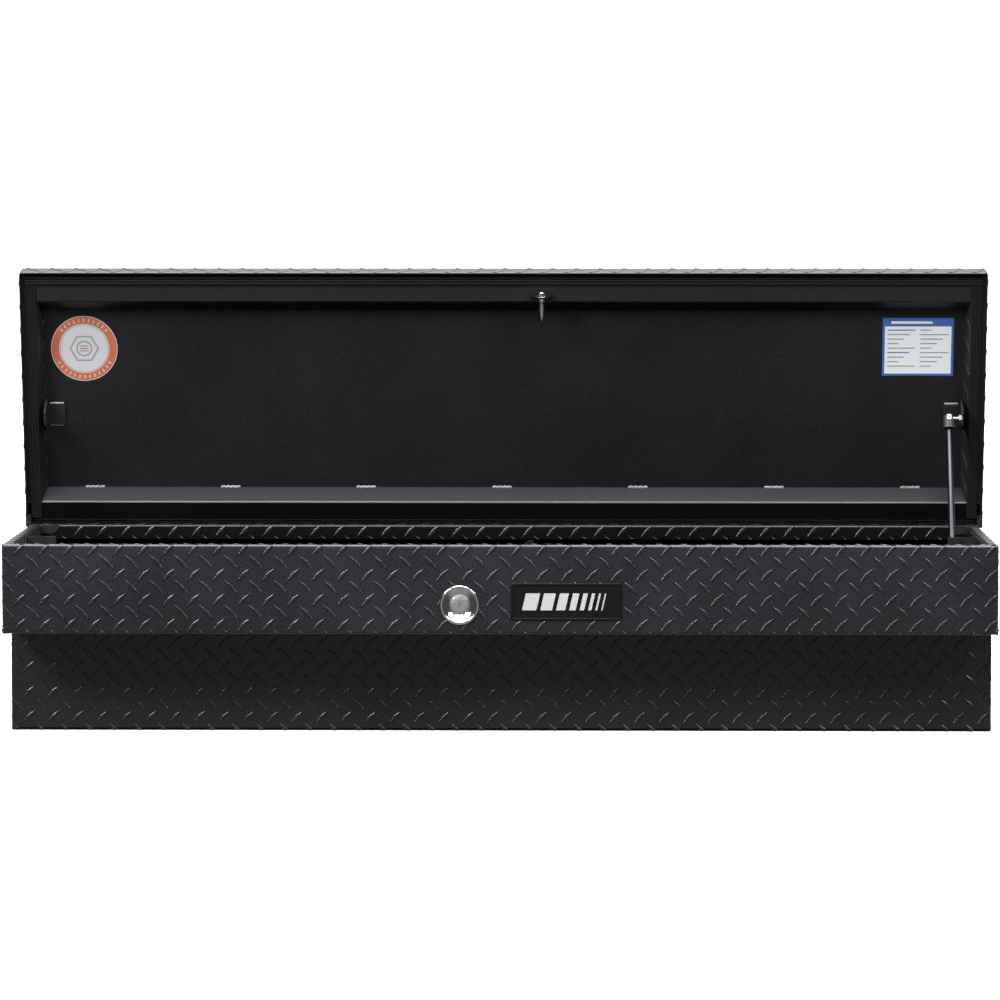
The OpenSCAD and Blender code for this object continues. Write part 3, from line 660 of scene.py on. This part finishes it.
# %% Wrapped sheet
BEND = 4.5 * MM
RIM_TOP = RIM - 0.7 * MM
wrap_line = [(FRONT + RIM_W, LIP), (FRONT + RIM_W, RIM_TOP), (FRONT, RIM_TOP), (FRONT, STEP), (LOW, STEP),
             (LOW, FLOOR_Z), (BACK, FLOOR_Z), (BACK, RIM_TOP), (BACK - RIM_W, RIM_TOP), (BACK - RIM_W, LIP)]
bm = bmesh.new()
prism(bm, folded(wrap_line, SHEET, BEND), -WALL, WALL, ENDWISE)
for face in bm.faces:
    where = face.calc_center_median()
    # Painted shade: faces inside the box, on its lips and on its floor take the near-black paint.
    inside_shade = FRONT + SHEET * 0.9 < where.y < BACK - SHEET * 0.9 and where.z < RIM_TOP - BEND * 0.8
    below_step = where.y < LOW + SHEET * 0.5 and where.z < STEP + SHEET * 0.5
    # Painted shadow: a band along the foot of the front takes the near-black paint.
    foot = where.z < BEND and where.y < LOW + BEND
    face.material_index = int(foot or inside_shade and not below_step)
body_wrap = piece("body_wrap", bm, [tread_paint, painted_shade_black], "box", "tread_black", "front_apron", "step_panel",
                  "lower_front_panel", "floor_panel", "back_panel", "rim_front", "rim_back", smooth=50)

# %% Lock hole in the apron
bm = bmesh.new()
HOLE_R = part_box("lock_bezel")[1].x - lock.x - 5.8 * MM
lathe(bm, [(0, -0.03), (HOLE_R, -0.03), (HOLE_R, 0.03), (0, 0.03)], place(lock, X_AXIS, Z_AXIS), 72)
bmesh.ops.recalc_face_normals(bm, faces=bm.faces)
punch = shown("punch", baked(bm, "punch"))
hole = body_wrap.modifiers.new("lock_hole", "BOOLEAN")
hole.object, hole.operation, hole.solver = punch, "DIFFERENCE", "EXACT"
punched = bpy.data.meshes.new_from_object(body_wrap.evaluated_get(bpy.context.evaluated_depsgraph_get()))
body_wrap.modifiers.clear()
body_wrap.data = punched
bpy.data.objects.remove(punch)

# %% End plates with their rims
for side, name in ((-1, "left"), (1, "right")):
    bm = bmesh.new()
    outline = [(FRONT, STEP), (FRONT, RIM_TOP), (FRONT + RIM_W, RIM_TOP), (FRONT + RIM_W, RIM_TOP - 4 * MM),
               (BACK - RIM_W, RIM_TOP - 4 * MM), (BACK - RIM_W, RIM_TOP), (BACK, RIM_TOP), (BACK, LUG_H),
               (LOW, LUG_H), (LOW, STEP)]
    prism(bm, outline, side * WALL, side * END, ENDWISE)
    rim_line = [(END, RIM_TOP - 4 * MM), (END, RIM_TOP), (END - RIM_W, RIM_TOP), (END - RIM_W, LIP)]
    across = place((0, 0, 0), X_AXIS * side, Z_AXIS)
    prism(bm, folded(rim_line, SHEET, BEND), FRONT + RIM_W, BACK - RIM_W, across @ Matrix.Scale(-side, 4, Z_AXIS))
    piece("end_sheet_" + name, bm, tread_paint, "box", "tread_black", "end_panel_" + name, "rim_" + name,
          smooth=50)

# %% Lugs on the rims and lips
bm = bmesh.new()
over = place((0, 0, RIM_TOP), X_AXIS, Y_AXIS)
lugs_on(bm, over, (-WALL, FRONT + EDGE), (WALL, FRONT + RIM_W - EDGE), (FIRST_LUG, FRONT))
lugs_on(bm, over, (-WALL, BACK - RIM_W + EDGE), (WALL, BACK - EDGE), (FIRST_LUG, BACK - 5 * MM))
for side in (-1, 1):
    x_low, x_high = sorted((side * (END - RIM_W + EDGE), side * (END - EDGE)))
    lugs_on(bm, over, (x_low, FRONT + RIM_W), (x_high, BACK - RIM_W), (side * (END - 9 * MM), 0))
    y_low, y_high = FRONT + RIM_W + SHEET, BACK - RIM_W - SHEET
    inner = place((side * (END - RIM_W), 0, 0), Y_AXIS * -side, Z_AXIS)
    lugs_on(bm, inner, (y_low, LIP + MM), (y_high, RIM_TOP - EDGE), (0, LIP + 9 * MM))
lip_x = END - RIM_W - SHEET
lugs_on(bm, place((0, BACK - RIM_W, 0), X_AXIS, Z_AXIS), (-lip_x, LIP + MM), (lip_x, RIM_TOP - EDGE),
        (-721 * MM, LIP + 14 * MM))
lugs_on(bm, place((0, FRONT + RIM_W, 0), -X_AXIS, Z_AXIS), (-lip_x, LIP + MM), (lip_x, RIM_TOP - EDGE),
        (0, LIP + 9 * MM))
tread_piece("tread_rims", bm, "box")

# %% [markdown]
# ## Lid sheet
# The lid's skin is turned down on three sides into a skirt, and the skirt's edge is folded back on
# itself as a hem, which makes it stiff and safe to touch. The skirt is swept round the corners with a
# 5 mm radius; a flat plate closes it, and a short flange at the back takes the hinge.

# %% Skin, skirt and hem
LID_X = 772 * MM - LUG_H
LID_FRONT = hinge_at.y - 416 * MM + LUG_H
SKIRT = LID_TOP - 36 * MM
TOP_FACE = LID_TOP - LUG_H
thin = SKIN_T - LUG_H
inset = 4.5 * MM
hem = 3 * MM
HEM_X = 768 * MM
skirt_outline = rounded(
    [(hem, SKIRT + 13 * MM), (hem, SKIRT), (0, SKIRT), (0, TOP_FACE), (inset, TOP_FACE), (inset, TOP_FACE - thin),
     (thin, TOP_FACE - thin), (thin, SKIRT + 13 * MM)],
    [0.6 * MM, 1.4 * MM, 1.4 * MM, 3 * MM, 0, 0, 2 * MM, 0])
SKIRT_END = hinge_at.y + 0.5 * MM
corners = [Vector(p) for p in ((-LID_X, SKIRT_END), (-LID_X, LID_FRONT), (LID_X, LID_FRONT), (LID_X, SKIRT_END))]
skirt_path = [corners[0]] + arc(*corners[:3], 5 * MM, 8) + arc(*corners[1:], 5 * MM, 8) + [corners[3]]
bm = bmesh.new()
sweep(bm, skirt_path, skirt_outline, LID_OPEN)
plate = rounded([(-LID_X + inset, BACK - 6 * MM), (-LID_X + inset, LID_FRONT + inset),
                 (LID_X - inset, LID_FRONT + inset), (LID_X - inset, BACK - 6 * MM)], [0, MM / 2, MM / 2, 0])
prism(bm, plate, TOP_FACE - thin, TOP_FACE, LID_OPEN)
rear_line = [(BACK, RIM + 2 * MM), (BACK, TOP_FACE), (BACK - 6 * MM, TOP_FACE)]
prism(bm, folded(rear_line, thin, BEND), -HEM_X, HEM_X, LID_OPEN @ ENDWISE)
for face in bm.faces:
    spot = LID_OPEN.inverted() @ face.calc_center_median()
    outer = spot.z > TOP_FACE - thin / 2 or abs(spot.x) > LID_X - MM / 2 or spot.y < LID_FRONT + MM / 2
    face.material_index = int(outer)
piece("lid_sheet", bm, [lid_paint, tread_paint], "lid", "tread_black", "lid_skin", smooth=50)

# %% Lugs on the lid
bm = bmesh.new()
lugs_on(bm, LID_OPEN @ place((0, 0, TOP_FACE), X_AXIS, Y_AXIS), (-LID_X + EDGE, LID_FRONT + EDGE),
        (LID_X - EDGE, BACK - EDGE), (0, 0))
tread_piece("tread_lid_top", bm, "lid")
bm = bmesh.new()
lugs_on(bm, LID_OPEN @ place((0, LID_FRONT, 0), X_AXIS, Z_AXIS), (-LID_X + 5 * MM, SKIRT + EDGE),
        (LID_X - 5 * MM, TOP_FACE - EDGE), (FIRST_LUG, SKIRT + 6 * MM))
for side in (-1, 1):
    y_low, y_high = sorted((side * (LID_FRONT + 5 * MM), side * BACK))
    lugs_on(bm, LID_OPEN @ place((side * LID_X, 0, 0), Y_AXIS * side, Z_AXIS), (y_low, SKIRT + EDGE),
            (y_high, TOP_FACE - EDGE), (0, SKIRT + 6 * MM))
tread_piece("tread_lid_skirt", bm, "lid")

# %% [markdown]
# ## Channels inside the lid
# Four folded channels stiffen the lid. Each has a flat that carries the weather seal and a web that
# slopes to the skin. The side channels are tread plate, and their ends are cut at a slope to meet the
# front and rear ones.

# %% Front and rear channels
FLAT = 24 * MM
THICK = 1.5 * MM
CHANNEL_BEND = 2.6 * MM
WEB_A, WEB_X = 19 * MM, 8.5 * MM
FRONT_FLAT_A, REAR_FLAT_A, SIDE_FLAT_X = 365.5 * MM, 34 * MM, 746 * MM
side_on = LID_IN @ ENDWISE
bm = bmesh.new()
front_line = [(FRONT_FLAT_A - WEB_A, 0), (FRONT_FLAT_A, FLAT), (412 * MM, FLAT)]
prism(bm, folded(front_line, -THICK, CHANNEL_BEND), -HEM_X, HEM_X, side_on)
piece("front_channel", bm, channel_paint, "lid", "channel_black", "lid_channel_front", smooth=50)
bm = bmesh.new()
rear_line = [(6.5 * MM, FLAT), (REAR_FLAT_A, FLAT), (REAR_FLAT_A + WEB_A, 0)]
prism(bm, folded(rear_line, -THICK, CHANNEL_BEND), -HEM_X, HEM_X, side_on)
# Painted shade on the flat, which takes the near-black paint, and a painted highlight on its bend.
for face in bm.faces:
    spot = LID_IN.inverted() @ face.calc_center_median()
    if spot.y < REAR_FLAT_A + 1.6 * MM:
        face.material_index = 1 if spot.y < REAR_FLAT_A - 1.5 * MM else 2
piece("rear_channel", bm, [slope_paint, painted_shade_black, bend_highlight_paint], "lid", "channel_rear", "lid_channel_rear",
      smooth=50)

# %% Side channels
for side, name in ((-1, "left"), (1, "right")):
    bm = bmesh.new()
    line = [(HEM_X, FLAT), (SIDE_FLAT_X, FLAT), (SIDE_FLAT_X - WEB_X, 0)]
    outline = [(side * x, h) for x, h in folded(line, THICK, CHANNEL_BEND)]
    prism(bm, outline, -FRONT_FLAT_A, -REAR_FLAT_A, place((0, 0, 0), X_AXIS, Z_AXIS))
    for a, sign in ((FRONT_FLAT_A, 1), (REAR_FLAT_A, -1)):
        cut_off(bm, (0, a, FLAT), (0, sign * FLAT, -WEB_A))
    bmesh.ops.transform(bm, matrix=LID_IN, verts=bm.verts)
    web = place((side * (SIDE_FLAT_X - WEB_X), 0, 0), Y_AXIS * -side, Vector((side * WEB_X, 0, FLAT)).normalized())
    a_low, a_high = sorted((-side * (FRONT_FLAT_A - WEB_A), -side * (REAR_FLAT_A + WEB_A)))
    lugs_on(bm, LID_IN @ web, (a_low, 0), (a_high, 23 * MM), (11 * MM, 12 * MM), height=0.7)
    piece("side_channel_" + name, bm, channel_paint, "lid", "channel_black", "lid_channel_" + name, smooth=40)

# %% [markdown]
# ## Weather seal
# An extruded rubber strip with four soft ribs is stuck along the front and both ends of the lid. Its
# outline is a base with half-round ribs, drawn out along the flats.

# %% Ribbed strips
SEAL_W, SEAL_H, RIBS = 17 * MM, 4 * MM, 4


def seal_outline(start, side=1, tall=SEAL_H):
    """Base and four half-round ribs, from one edge of the strip."""
    pitch = SEAL_W / RIBS
    points = [(start, FLAT), (start + side * SEAL_W, FLAT)]
    for i in reversed(range(RIBS)):
        middle = start + side * (i + 0.5) * pitch
        for k in range(9):
            turn = math.pi * k / 8
            points.append((middle + side * 0.46 * pitch * math.cos(turn),
                           FLAT + tall / 2 + tall / 2 * math.sin(turn) ** 0.7))
    return points


SEAL_A = hinge_at.y - FRONT
bm = bmesh.new()
prism(bm, seal_outline(SEAL_A - SEAL_W), -SIDE_FLAT_X + MM - SEAL_W, SIDE_FLAT_X - MM + SEAL_W, side_on)
piece("seal_strip_front", bm, rubber, "lid", "seal_rubber", "seal_front", smooth=60)
for side, name in ((-1, "left"), (1, "right")):
    bm = bmesh.new()
    prism(bm, seal_outline(side * SIDE_FLAT_X, side, SEAL_H - 0.9 * MM), -SEAL_A + SEAL_W, -8.5 * MM,
          LID_IN @ place((0, 0, 0), X_AXIS, Z_AXIS))
    piece("seal_strip_" + name, bm, rubber, "lid", "seal_rubber", "seal_" + name, smooth=60)

# %% [markdown]
# ## Stitch welds
# The channels are joined to the skin by short welds. A weld bead is a row of overlapping scales, so
# one stitch is built from flattened balls, cut off just under the sheet so that none comes through,
# and the lattice tree repeats it along the channel.

# %% Weld beads
BALL = [(math.sin(math.pi * k / 8), -math.cos(math.pi * k / 8)) for k in range(9)]
BALL[0], BALL[-1] = (0, -1), (0, 1)


def bead_mesh(length, width, height, scales):
    """A row of overlapping scales along x."""
    bm = bmesh.new()
    for i in range(scales):
        x = (i / max(scales - 1, 1) - 0.5) * (length - width)
        wander = 0.12 * width * math.sin(i * 2.4)
        lathe(bm, BALL, Matrix.Translation((x, wander, 0)) @ Matrix.Diagonal((width * 0.5, width * 0.5, height, 1)), 14)
    for vert in bm.verts:
        vert.co.z = max(vert.co.z, -0.3 * MM)
    return baked(bm, "bead")


STITCH_PITCH, STITCH_MIDDLE = 219.5 * MM, -2.5 * MM
# The rear stitches, on the lit slope, take the pale grey as a painted highlight; the front ones keep the dark bracket
# paint.
for name, a, finish, height in (("stitch_welds_rear", REAR_FLAT_A + WEB_A, weld_highlight_paint, 1.6),
                                ("stitch_welds_front", FRONT_FLAT_A - WEB_A, bracket_paint, 2.2)):
    row = repeat(bead_mesh(32 * MM, 5 * MM, height * MM, 10), finish, Columns=7, Rows=1, Pitch_X=STITCH_PITCH,
                 Pitch_Y=PITCH, Turn=0.0, Second=False)
    row.transform(LID_IN @ Matrix.Translation((STITCH_MIDDLE, a, 0.3 * MM)))
    settle(name, row, finish, "lid", "channel_black", smooth=60)


def bead_between(bm, start, end, width, height=None, normal=Z_AXIS):
    """Adds a weld bead from one point to another."""
    start, end = Vector(start), Vector(end)
    along = (end - start).normalized()
    length = (end - start).length
    mesh = bead_mesh(length, width, height or width * 0.45, max(2, int(length / width * 1.8)))
    mesh.transform(place((start + end) / 2, along, Vector(normal).cross(along)))
    bm.from_mesh(mesh)
    bpy.data.meshes.remove(mesh)


# %% Welds on the brackets and the box
bm = bmesh.new()
for side in (-1, 1):
    for a in (156.5 * MM, 192.5 * MM):
        bead_between(bm, LID_IN @ Vector((side * 708 * MM, a, 0)), LID_IN @ Vector((side * 731 * MM, a, 0)), 3.4 * MM,
                     normal=LID_IN.to_3x3() @ Z_AXIS)
# The bracket welds take the pale grey as a painted highlight.
piece("bracket_welds", bm, weld_highlight_paint, "lid", "bracket_black", smooth=60)
bm = bmesh.new()
for side in (-1, 1):
    seam = side * (WALL + 0.6 * MM)
    for start, end, width, height, normal in (
            ((FRONT + MM, STEP + 5 * MM), (FRONT + MM, RIM_TOP - 5 * MM), 3, 1.2, -Y_AXIS),
            ((FRONT + MM, STEP + MM), (FRONT + MM, STEP + 10 * MM), 5, 2.2, -Y_AXIS),
            ((LOW + MM, 5 * MM), (LOW + MM, STEP - 3 * MM), 3, 1.2, -Y_AXIS),
            ((BACK - MM, 5 * MM), (BACK - MM, RIM_TOP - 5 * MM), 3, 1.2, Y_AXIS),
            ((FRONT + 5 * MM, STEP + MM), (LOW - 3 * MM, STEP + MM), 3, 1.2, -Z_AXIS)):
        bead_between(bm, (seam, *start), (seam, *end), width * MM, height * MM, normal)
piece("seam_welds", bm, tread_paint, "box", "tread_black", smooth=60)

# %% [markdown]
# ## Printed vinyl
# A round sticker and a label sit on the inside of the lid. Each is a thin stack: a base, a coloured
# ring or border, and plain generic marks. There is no lettering on either.

# %% Round sticker
bm = bmesh.new()
LIFT = 0.06 * MM
disc = LID_IN @ Matrix.Translation((-673 * MM, 283 * MM, 0))


def ring(bm, outer, inner, top, matrix, index, steps=96):
    """Flat ring or disc, printed a hair above what is below it."""
    profile = [(inner, 0), (outer, 0), (outer, top), (inner, top)]
    lathe(bm, profile, matrix, steps, closed=inner > 0, index=index)


R_DISC = 53.5 * MM
ring(bm, R_DISC, 0, 3 * LIFT, disc, 0)
ring(bm, R_DISC - 1.2 * MM, 40.5 * MM, 4 * LIFT, disc, 1)
ring(bm, 39.2 * MM, 38.2 * MM, 4 * LIFT, disc, 3)
TICKS = 36
for i in [*range(4, 15), *range(21, 34)]:
    tick = disc @ Matrix.Rotation(math.tau * i / TICKS, 4, "Z")
    block(bm, (44 * MM, -0.9 * MM, 0), (49.5 * MM, 0.9 * MM, 5 * LIFT), tick, 0)
ring(bm, 24 * MM, 21 * MM, 4 * LIFT, disc, 3, 6)
ring(bm, 13 * MM, 10.5 * MM, 4 * LIFT, disc, 3)
for i in (-1, 0, 1):
    block(bm, (-7 * MM, (i * 4 - 1) * MM, 0), (7 * MM, (i * 4 + 1) * MM, 4 * LIFT), disc, 1 if i == 0 else 3)
piece("round_print", bm, [print_silver, print_orange, print_white, print_grey], "lid", "sticker_print",
      "round_sticker")

# %% Label
bm = bmesh.new()
x0, x1, a0, a1 = (v * MM for v in (607.5, 721, 239, 334))
block(bm, (x0, a0, 0), (x1, a1, 3 * LIFT), LID_IN, 1)
rim = 3.6 * MM
block(bm, (x0 + rim, a0 + rim, 0), (x1 - rim, a1 - 14 * MM, 4 * LIFT), LID_IN, 0)
block(bm, (x0 + 0.12 * (x1 - x0), a1 - 9.5 * MM, 0), (x1 - 0.3 * (x1 - x0), a1 - 5.5 * MM, 4 * LIFT), LID_IN, 0)
for row in range(9):
    top = a1 - (19 + 7.4 * row) * MM
    for column, (start, end) in enumerate(((0.07, 0.46), (0.53, 0.93))):
        finish_at = end - 0.08 * ((row * 5 + column * 3) % 4)
        block(bm, (x0 + start * (x1 - x0), top - 1.9 * MM, 0), (x0 + finish_at * (x1 - x0), top, 5 * LIFT), LID_IN,
              1 if row in (0, 5) and column == 0 else 2)
piece("label_print_panel", bm, [print_white, print_blue, print_grey], "lid", "label_print", "care_label")

# %% [markdown]
# ## Covers at the hinge
# A flat strip along the lid's rear edge covers the knuckles, and a tab closes each corner, so that
# no light comes through beside the hinge. Both turn with the lid and stay clear of the box.

# %% Dust strip and corner tabs
bm = bmesh.new()
block(bm, (-END - 9 * MM, -4 * MM, FLAT - 1.5 * MM), (END + 9 * MM, 6.4 * MM, FLAT - 0.1 * MM), LID_IN)
piece("hinge_dust_strip", bm, hinge_paint, "lid", "tread_black")
bm = bmesh.new()
for side in (-1, 1):
    x_low, x_high = sorted((side * (END + MM), side * (END + 9.5 * MM)))
    block(bm, (x_low, hinge_at.y - 8 * MM, hinge_at.z - 6 * MM), (x_high, hinge_at.y + 1.5 * MM, hinge_at.z + 14 * MM))
piece("corner_tabs", bm, tread_paint, "lid", "tread_black", bevel=0.8 * MM)

# %% [markdown]
# ## Striker
# A threaded chrome bolt hangs from an upright bracket at the front of the lid and drops into the
# latch. The thread is a saw-tooth profile turned on the lathe; a hex nut, a washer and a round collar
# hold it.

# %% Striker bolt, nuts and bracket
STRIKER_X, STRIKER_H = 62 * MM, 44 * MM
bolt_frame = LID_IN @ Matrix.Translation((STRIKER_X, 386 * MM, STRIKER_H)) @ Matrix.Rotation(math.pi / 2, 4, "X")


def thread(radius, start, end, pitch, depth):
    """Points of a threaded length of a turned profile."""
    points = []
    for i in range(int((end - start) / pitch)):
        points += [(radius - depth, start + i * pitch), (radius, start + (i + 0.45) * pitch),
                   (radius, start + (i + 0.6) * pitch)]
    return points


def hexagon(radius, turn):
    return [(radius * math.cos(turn + math.pi * k / 3), radius * math.sin(turn + math.pi * k / 3)) for k in range(6)]


R_BOLT = 4.2 * MM
bm = bmesh.new()
profile = [(0, 0), (R_BOLT - 0.8 * MM, 0)] + thread(R_BOLT, 0.6 * MM, 22 * MM, 1.2 * MM, 0.5 * MM)
profile += [(R_BOLT, 22.4 * MM), (R_BOLT, 45 * MM), (R_BOLT - 0.5 * MM, 46.2 * MM), (2.2 * MM, 51 * MM), (0, 51 * MM)]
lathe(bm, profile, bolt_frame, 40)
piece("striker_pin", bm, chrome, "lid", "stud_chrome", "striker_bolt", smooth=40)
bm = bmesh.new()
prism(bm, hexagon(6.2 * MM, 0.3), MM, 6 * MM, bolt_frame)
collar = rounded([(R_BOLT, 9 * MM), (5.8 * MM, 9 * MM), (5.8 * MM, 15.5 * MM), (R_BOLT, 15.5 * MM)],
                 [0, 0.8 * MM, 1.2 * MM, 0])
lathe(bm, collar, bolt_frame, 40, closed=True)
washer = rounded([(R_BOLT, 5.9 * MM), (11 * MM, 5.9 * MM), (11 * MM, 6.6 * MM), (R_BOLT, 6.6 * MM)],
                 [0, 0.25 * MM, 0.25 * MM, 0], 3)
lathe(bm, washer, bolt_frame, 48, closed=True)
piece("striker_fixings", bm, chrome, "lid", "stud_chrome", "striker_nuts", smooth=40, bevel=0.3 * MM)
bm = bmesh.new()
LEG, HEAD = 17 * MM, 40 * MM
upright = LID_IN @ place((STRIKER_X, 377 * MM, 0), X_AXIS, Z_AXIS)
head = [(LEG * math.cos(a), HEAD - 2 * MM + LEG * math.sin(a)) for a in (math.pi * k / 20 for k in range(21))]
prism(bm, [(-LEG, FLAT)] + [(LEG, FLAT)] + head, -2.5 * MM, 0, upright)
block(bm, (STRIKER_X - LEG, 366 * MM, FLAT), (STRIKER_X + LEG, 377 * MM, FLAT + 2.5 * MM), LID_IN)
piece("striker_angle", bm, gloss_black, "lid", "bracket_black", "striker_bracket", bevel=0.5 * MM)

# %% [markdown]
# ## Gas strut
# The ground rod is turned on the lathe with its piston. The socket, clip and cylinder have the right
# shape in the frame already, so they stay and take their finishes at the end.

# %% Rod
ball = Vector(joints["strut_pivot"]["pos_m"])
strut_up = Vector(joints["strut_slide"]["axis"])
STRUT = place(ball, X_AXIS, strut_up.cross(X_AXIS))
bm = bmesh.new()
bottom = -254.5 * MM
profile = [(0, bottom), (9.4 * MM, bottom), (9.8 * MM, bottom + 0.4 * MM), (9.8 * MM, bottom + 4.6 * MM),
           (9.4 * MM, bottom + 5 * MM), (5 * MM, bottom + 5 * MM), (5 * MM, -18 * MM), (4.6 * MM, -17.4 * MM),
           (4.6 * MM, -13 * MM), (0, -13 * MM)]
lathe(bm, profile, STRUT, 48)
piece("strut_rod_ground", bm, rod_steel, "rod", "rod_chrome", "strut_rod", smooth=40)

# %% [markdown]
# ## Lock
# A dished chrome bezel surrounds a push button with a key plug in it. The bezel's profile is turned
# as one closed ring; the button and the plug are bodies of their own, because one is pushed and the
# other turns.

# %% Bezel
LOCK = place(lock, X_AXIS, Z_AXIS)
BORE, CUP, OUT = 13.05 * MM, 24.5 * MM, 30.5 * MM
bm = bmesh.new()
DISH_R, DISH_MIDDLE = 38 * MM, 30.3 * MM
dish = [(DISH_R * math.sin(math.radians(a)), DISH_MIDDLE - DISH_R * math.cos(math.radians(a)))
        for a in range(43, 21, -1)]
profile = [(BORE, -25 * MM), (17 * MM, -25 * MM), (17 * MM, -8 * MM), (CUP, -8 * MM), (CUP, 0), (OUT - 0.2 * MM, 0),
           (OUT, 0.2 * MM), (OUT, 1.2 * MM), (OUT - 0.25 * MM, 1.9 * MM), (OUT - 0.8 * MM, 2.6 * MM),
           (OUT - 1.6 * MM, 3.05 * MM), (OUT - 2.6 * MM, 3.2 * MM), (OUT - 3.5 * MM, 3.05 * MM)] + dish
profile += [(14.0 * MM, -4.6 * MM), (13.5 * MM, -4.5 * MM), (BORE, -4.9 * MM)]
lathe(bm, profile, LOCK, 128, closed=True)
piece("bezel_dish", bm, chrome, "box", "lock_chrome", "lock_bezel", smooth=35)

# %% Push button
bm = bmesh.new()
R_BUTTON, R_PLUG = 13 * MM, 9.75 * MM
profile = [(R_PLUG + 0.05 * MM, -1.9 * MM), (R_PLUG + 0.4 * MM, -1.5 * MM), (R_BUTTON - 0.9 * MM, -1.5 * MM),
           (R_BUTTON - 0.25 * MM, -1.75 * MM), (R_BUTTON, -2.4 * MM), (R_BUTTON, -24 * MM), (2 * MM, -24 * MM),
           (2 * MM, -33 * MM), (0, -33 * MM)]
PLUG_BACK = -20 * MM
lathe(bm, [(0, PLUG_BACK), (R_PLUG + 0.05 * MM, PLUG_BACK)] + profile, LOCK, 96)
piece("push_button", bm, nickel, "button", "lock_chrome", "lock_button", smooth=35)

# %% Key plug with its keyway
bm = bmesh.new()
slot_w, slot_h, face, deep = 1.3 * MM, 4.6 * MM, -0.9 * MM, -7 * MM
steps = 72
outer = [(R_PLUG * math.cos(math.tau * i / steps), R_PLUG * math.sin(math.tau * i / steps)) for i in range(steps)]
slot = rounded([(-slot_w, -slot_h), (slot_w, -slot_h), (slot_w, slot_h), (-slot_w, slot_h)], [0.6 * MM] * 4, 4)
front_ring = [bm.verts.new(LOCK @ Vector((x * 0.965, y * 0.965, face))) for x, y in outer]
edge_ring = [bm.verts.new(LOCK @ Vector((x, y, face - 0.4 * MM))) for x, y in outer]
back_ring = [bm.verts.new(LOCK @ Vector((x, y, PLUG_BACK))) for x, y in outer]
skin_rings(bm, [front_ring, edge_ring, back_ring], capped=False)
bm.faces.new(back_ring)
mouth = [bm.verts.new(LOCK @ Vector((x, y, face))) for x, y in slot]
pocket = [bm.verts.new(LOCK @ Vector((x, y, deep))) for x, y in slot]
skin_rings(bm, [mouth, pocket], capped=False)
bm.faces.new(pocket)
rims = [bm.edges.get((r[i], r[(i + 1) % len(r)])) for r in (front_ring, mouth) for i in range(len(r))]
bmesh.ops.triangle_fill(bm, use_beauty=True, edges=rims)
piece("plug_face", bm, nickel, "plug", "lock_chrome", "key_plug", smooth=35)

# %% [markdown]
# ## Badge
# A gloss black moulded plate in a raised frame, fixed beside the lock, with plain slanted bars.

# %% Badge
bm = bmesh.new()
low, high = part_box("badge_frame")
centre_x, centre_z = (low.x + high.x) / 2, (low.z + high.z) / 2
half_w, half_h, frame_w = (high.x - low.x) / 2, (high.z - low.z) / 2, 3.5 * MM
BADGE = place((centre_x, FRONT, centre_z), X_AXIS, Z_AXIS)
path = rounded([(-half_w, -half_h), (half_w, -half_h), (half_w, half_h), (-half_w, half_h)], [4 * MM] * 4, 8)
rail = rounded([(0, 0), (0, 2.4 * MM), (frame_w, 2.4 * MM), (frame_w, 0)], [0, 1.1 * MM, 0.9 * MM, 0])
sweep(bm, path, rail, BADGE, closed=True)
inner = [(x * (1 - frame_w / half_w), y * (1 - frame_w / half_h)) for x, y in path]
prism(bm, inner, 0, 1.4 * MM, BADGE)
piece("badge_moulding", bm, gloss_black, "box", "badge_black", "badge_frame", "badge_plate", smooth=40)
bm = bmesh.new()
lean = 6 * MM
tall = 13 * MM
for start, end in ((-68, -46), (-40, -22), (-16, -2), (4, 14), (20, 27), (33, 38), (44, 47), (53, 55)):
    prism(bm, rounded([(start * MM, -tall), (end * MM, -tall), (end * MM + lean, tall), (start * MM + lean, tall)],
                      [0.7 * MM] * 4, 3), MM, 1.8 * MM, BADGE)
piece("badge_bars", bm, print_silver, "box", "badge_black", smooth=40, bevel=0.25 * MM)

# %% [markdown]
# ## Nodes of the frame that stay
# Hinge leaves, brackets, studs, the strut's fittings and the whole latch keep the frame's own shape.
# Each takes the finish of its slot, and the hinge takes its own matt black.

# %% Finishes for the frame's nodes
SLOT_FINISH = {
    "tread_black": tread_paint, "channel_black": channel_paint, "channel_rear": slope_paint,
    "bracket_black": bracket_paint, "seal_rubber": rubber, "zinc_steel": oxide, "stud_chrome": chrome,
    "rod_chrome": rod_steel, "tube_black": tube_paint, "fitting_plastic": nylon, "lock_chrome": chrome,
    "badge_black": gloss_black, "sticker_print": print_silver, "label_print": print_white}
for part in frame["record"]["subparts"]:
    node = frame["nodes"][part["node"]]
    node.data.materials.clear()
    finish = hinge_paint if part["node"].startswith("hinge_") else SLOT_FINISH[part["material_slot"]]
    node.data.materials.append(finish)
print(len(frame["nodes"]), "nodes took their finishes")
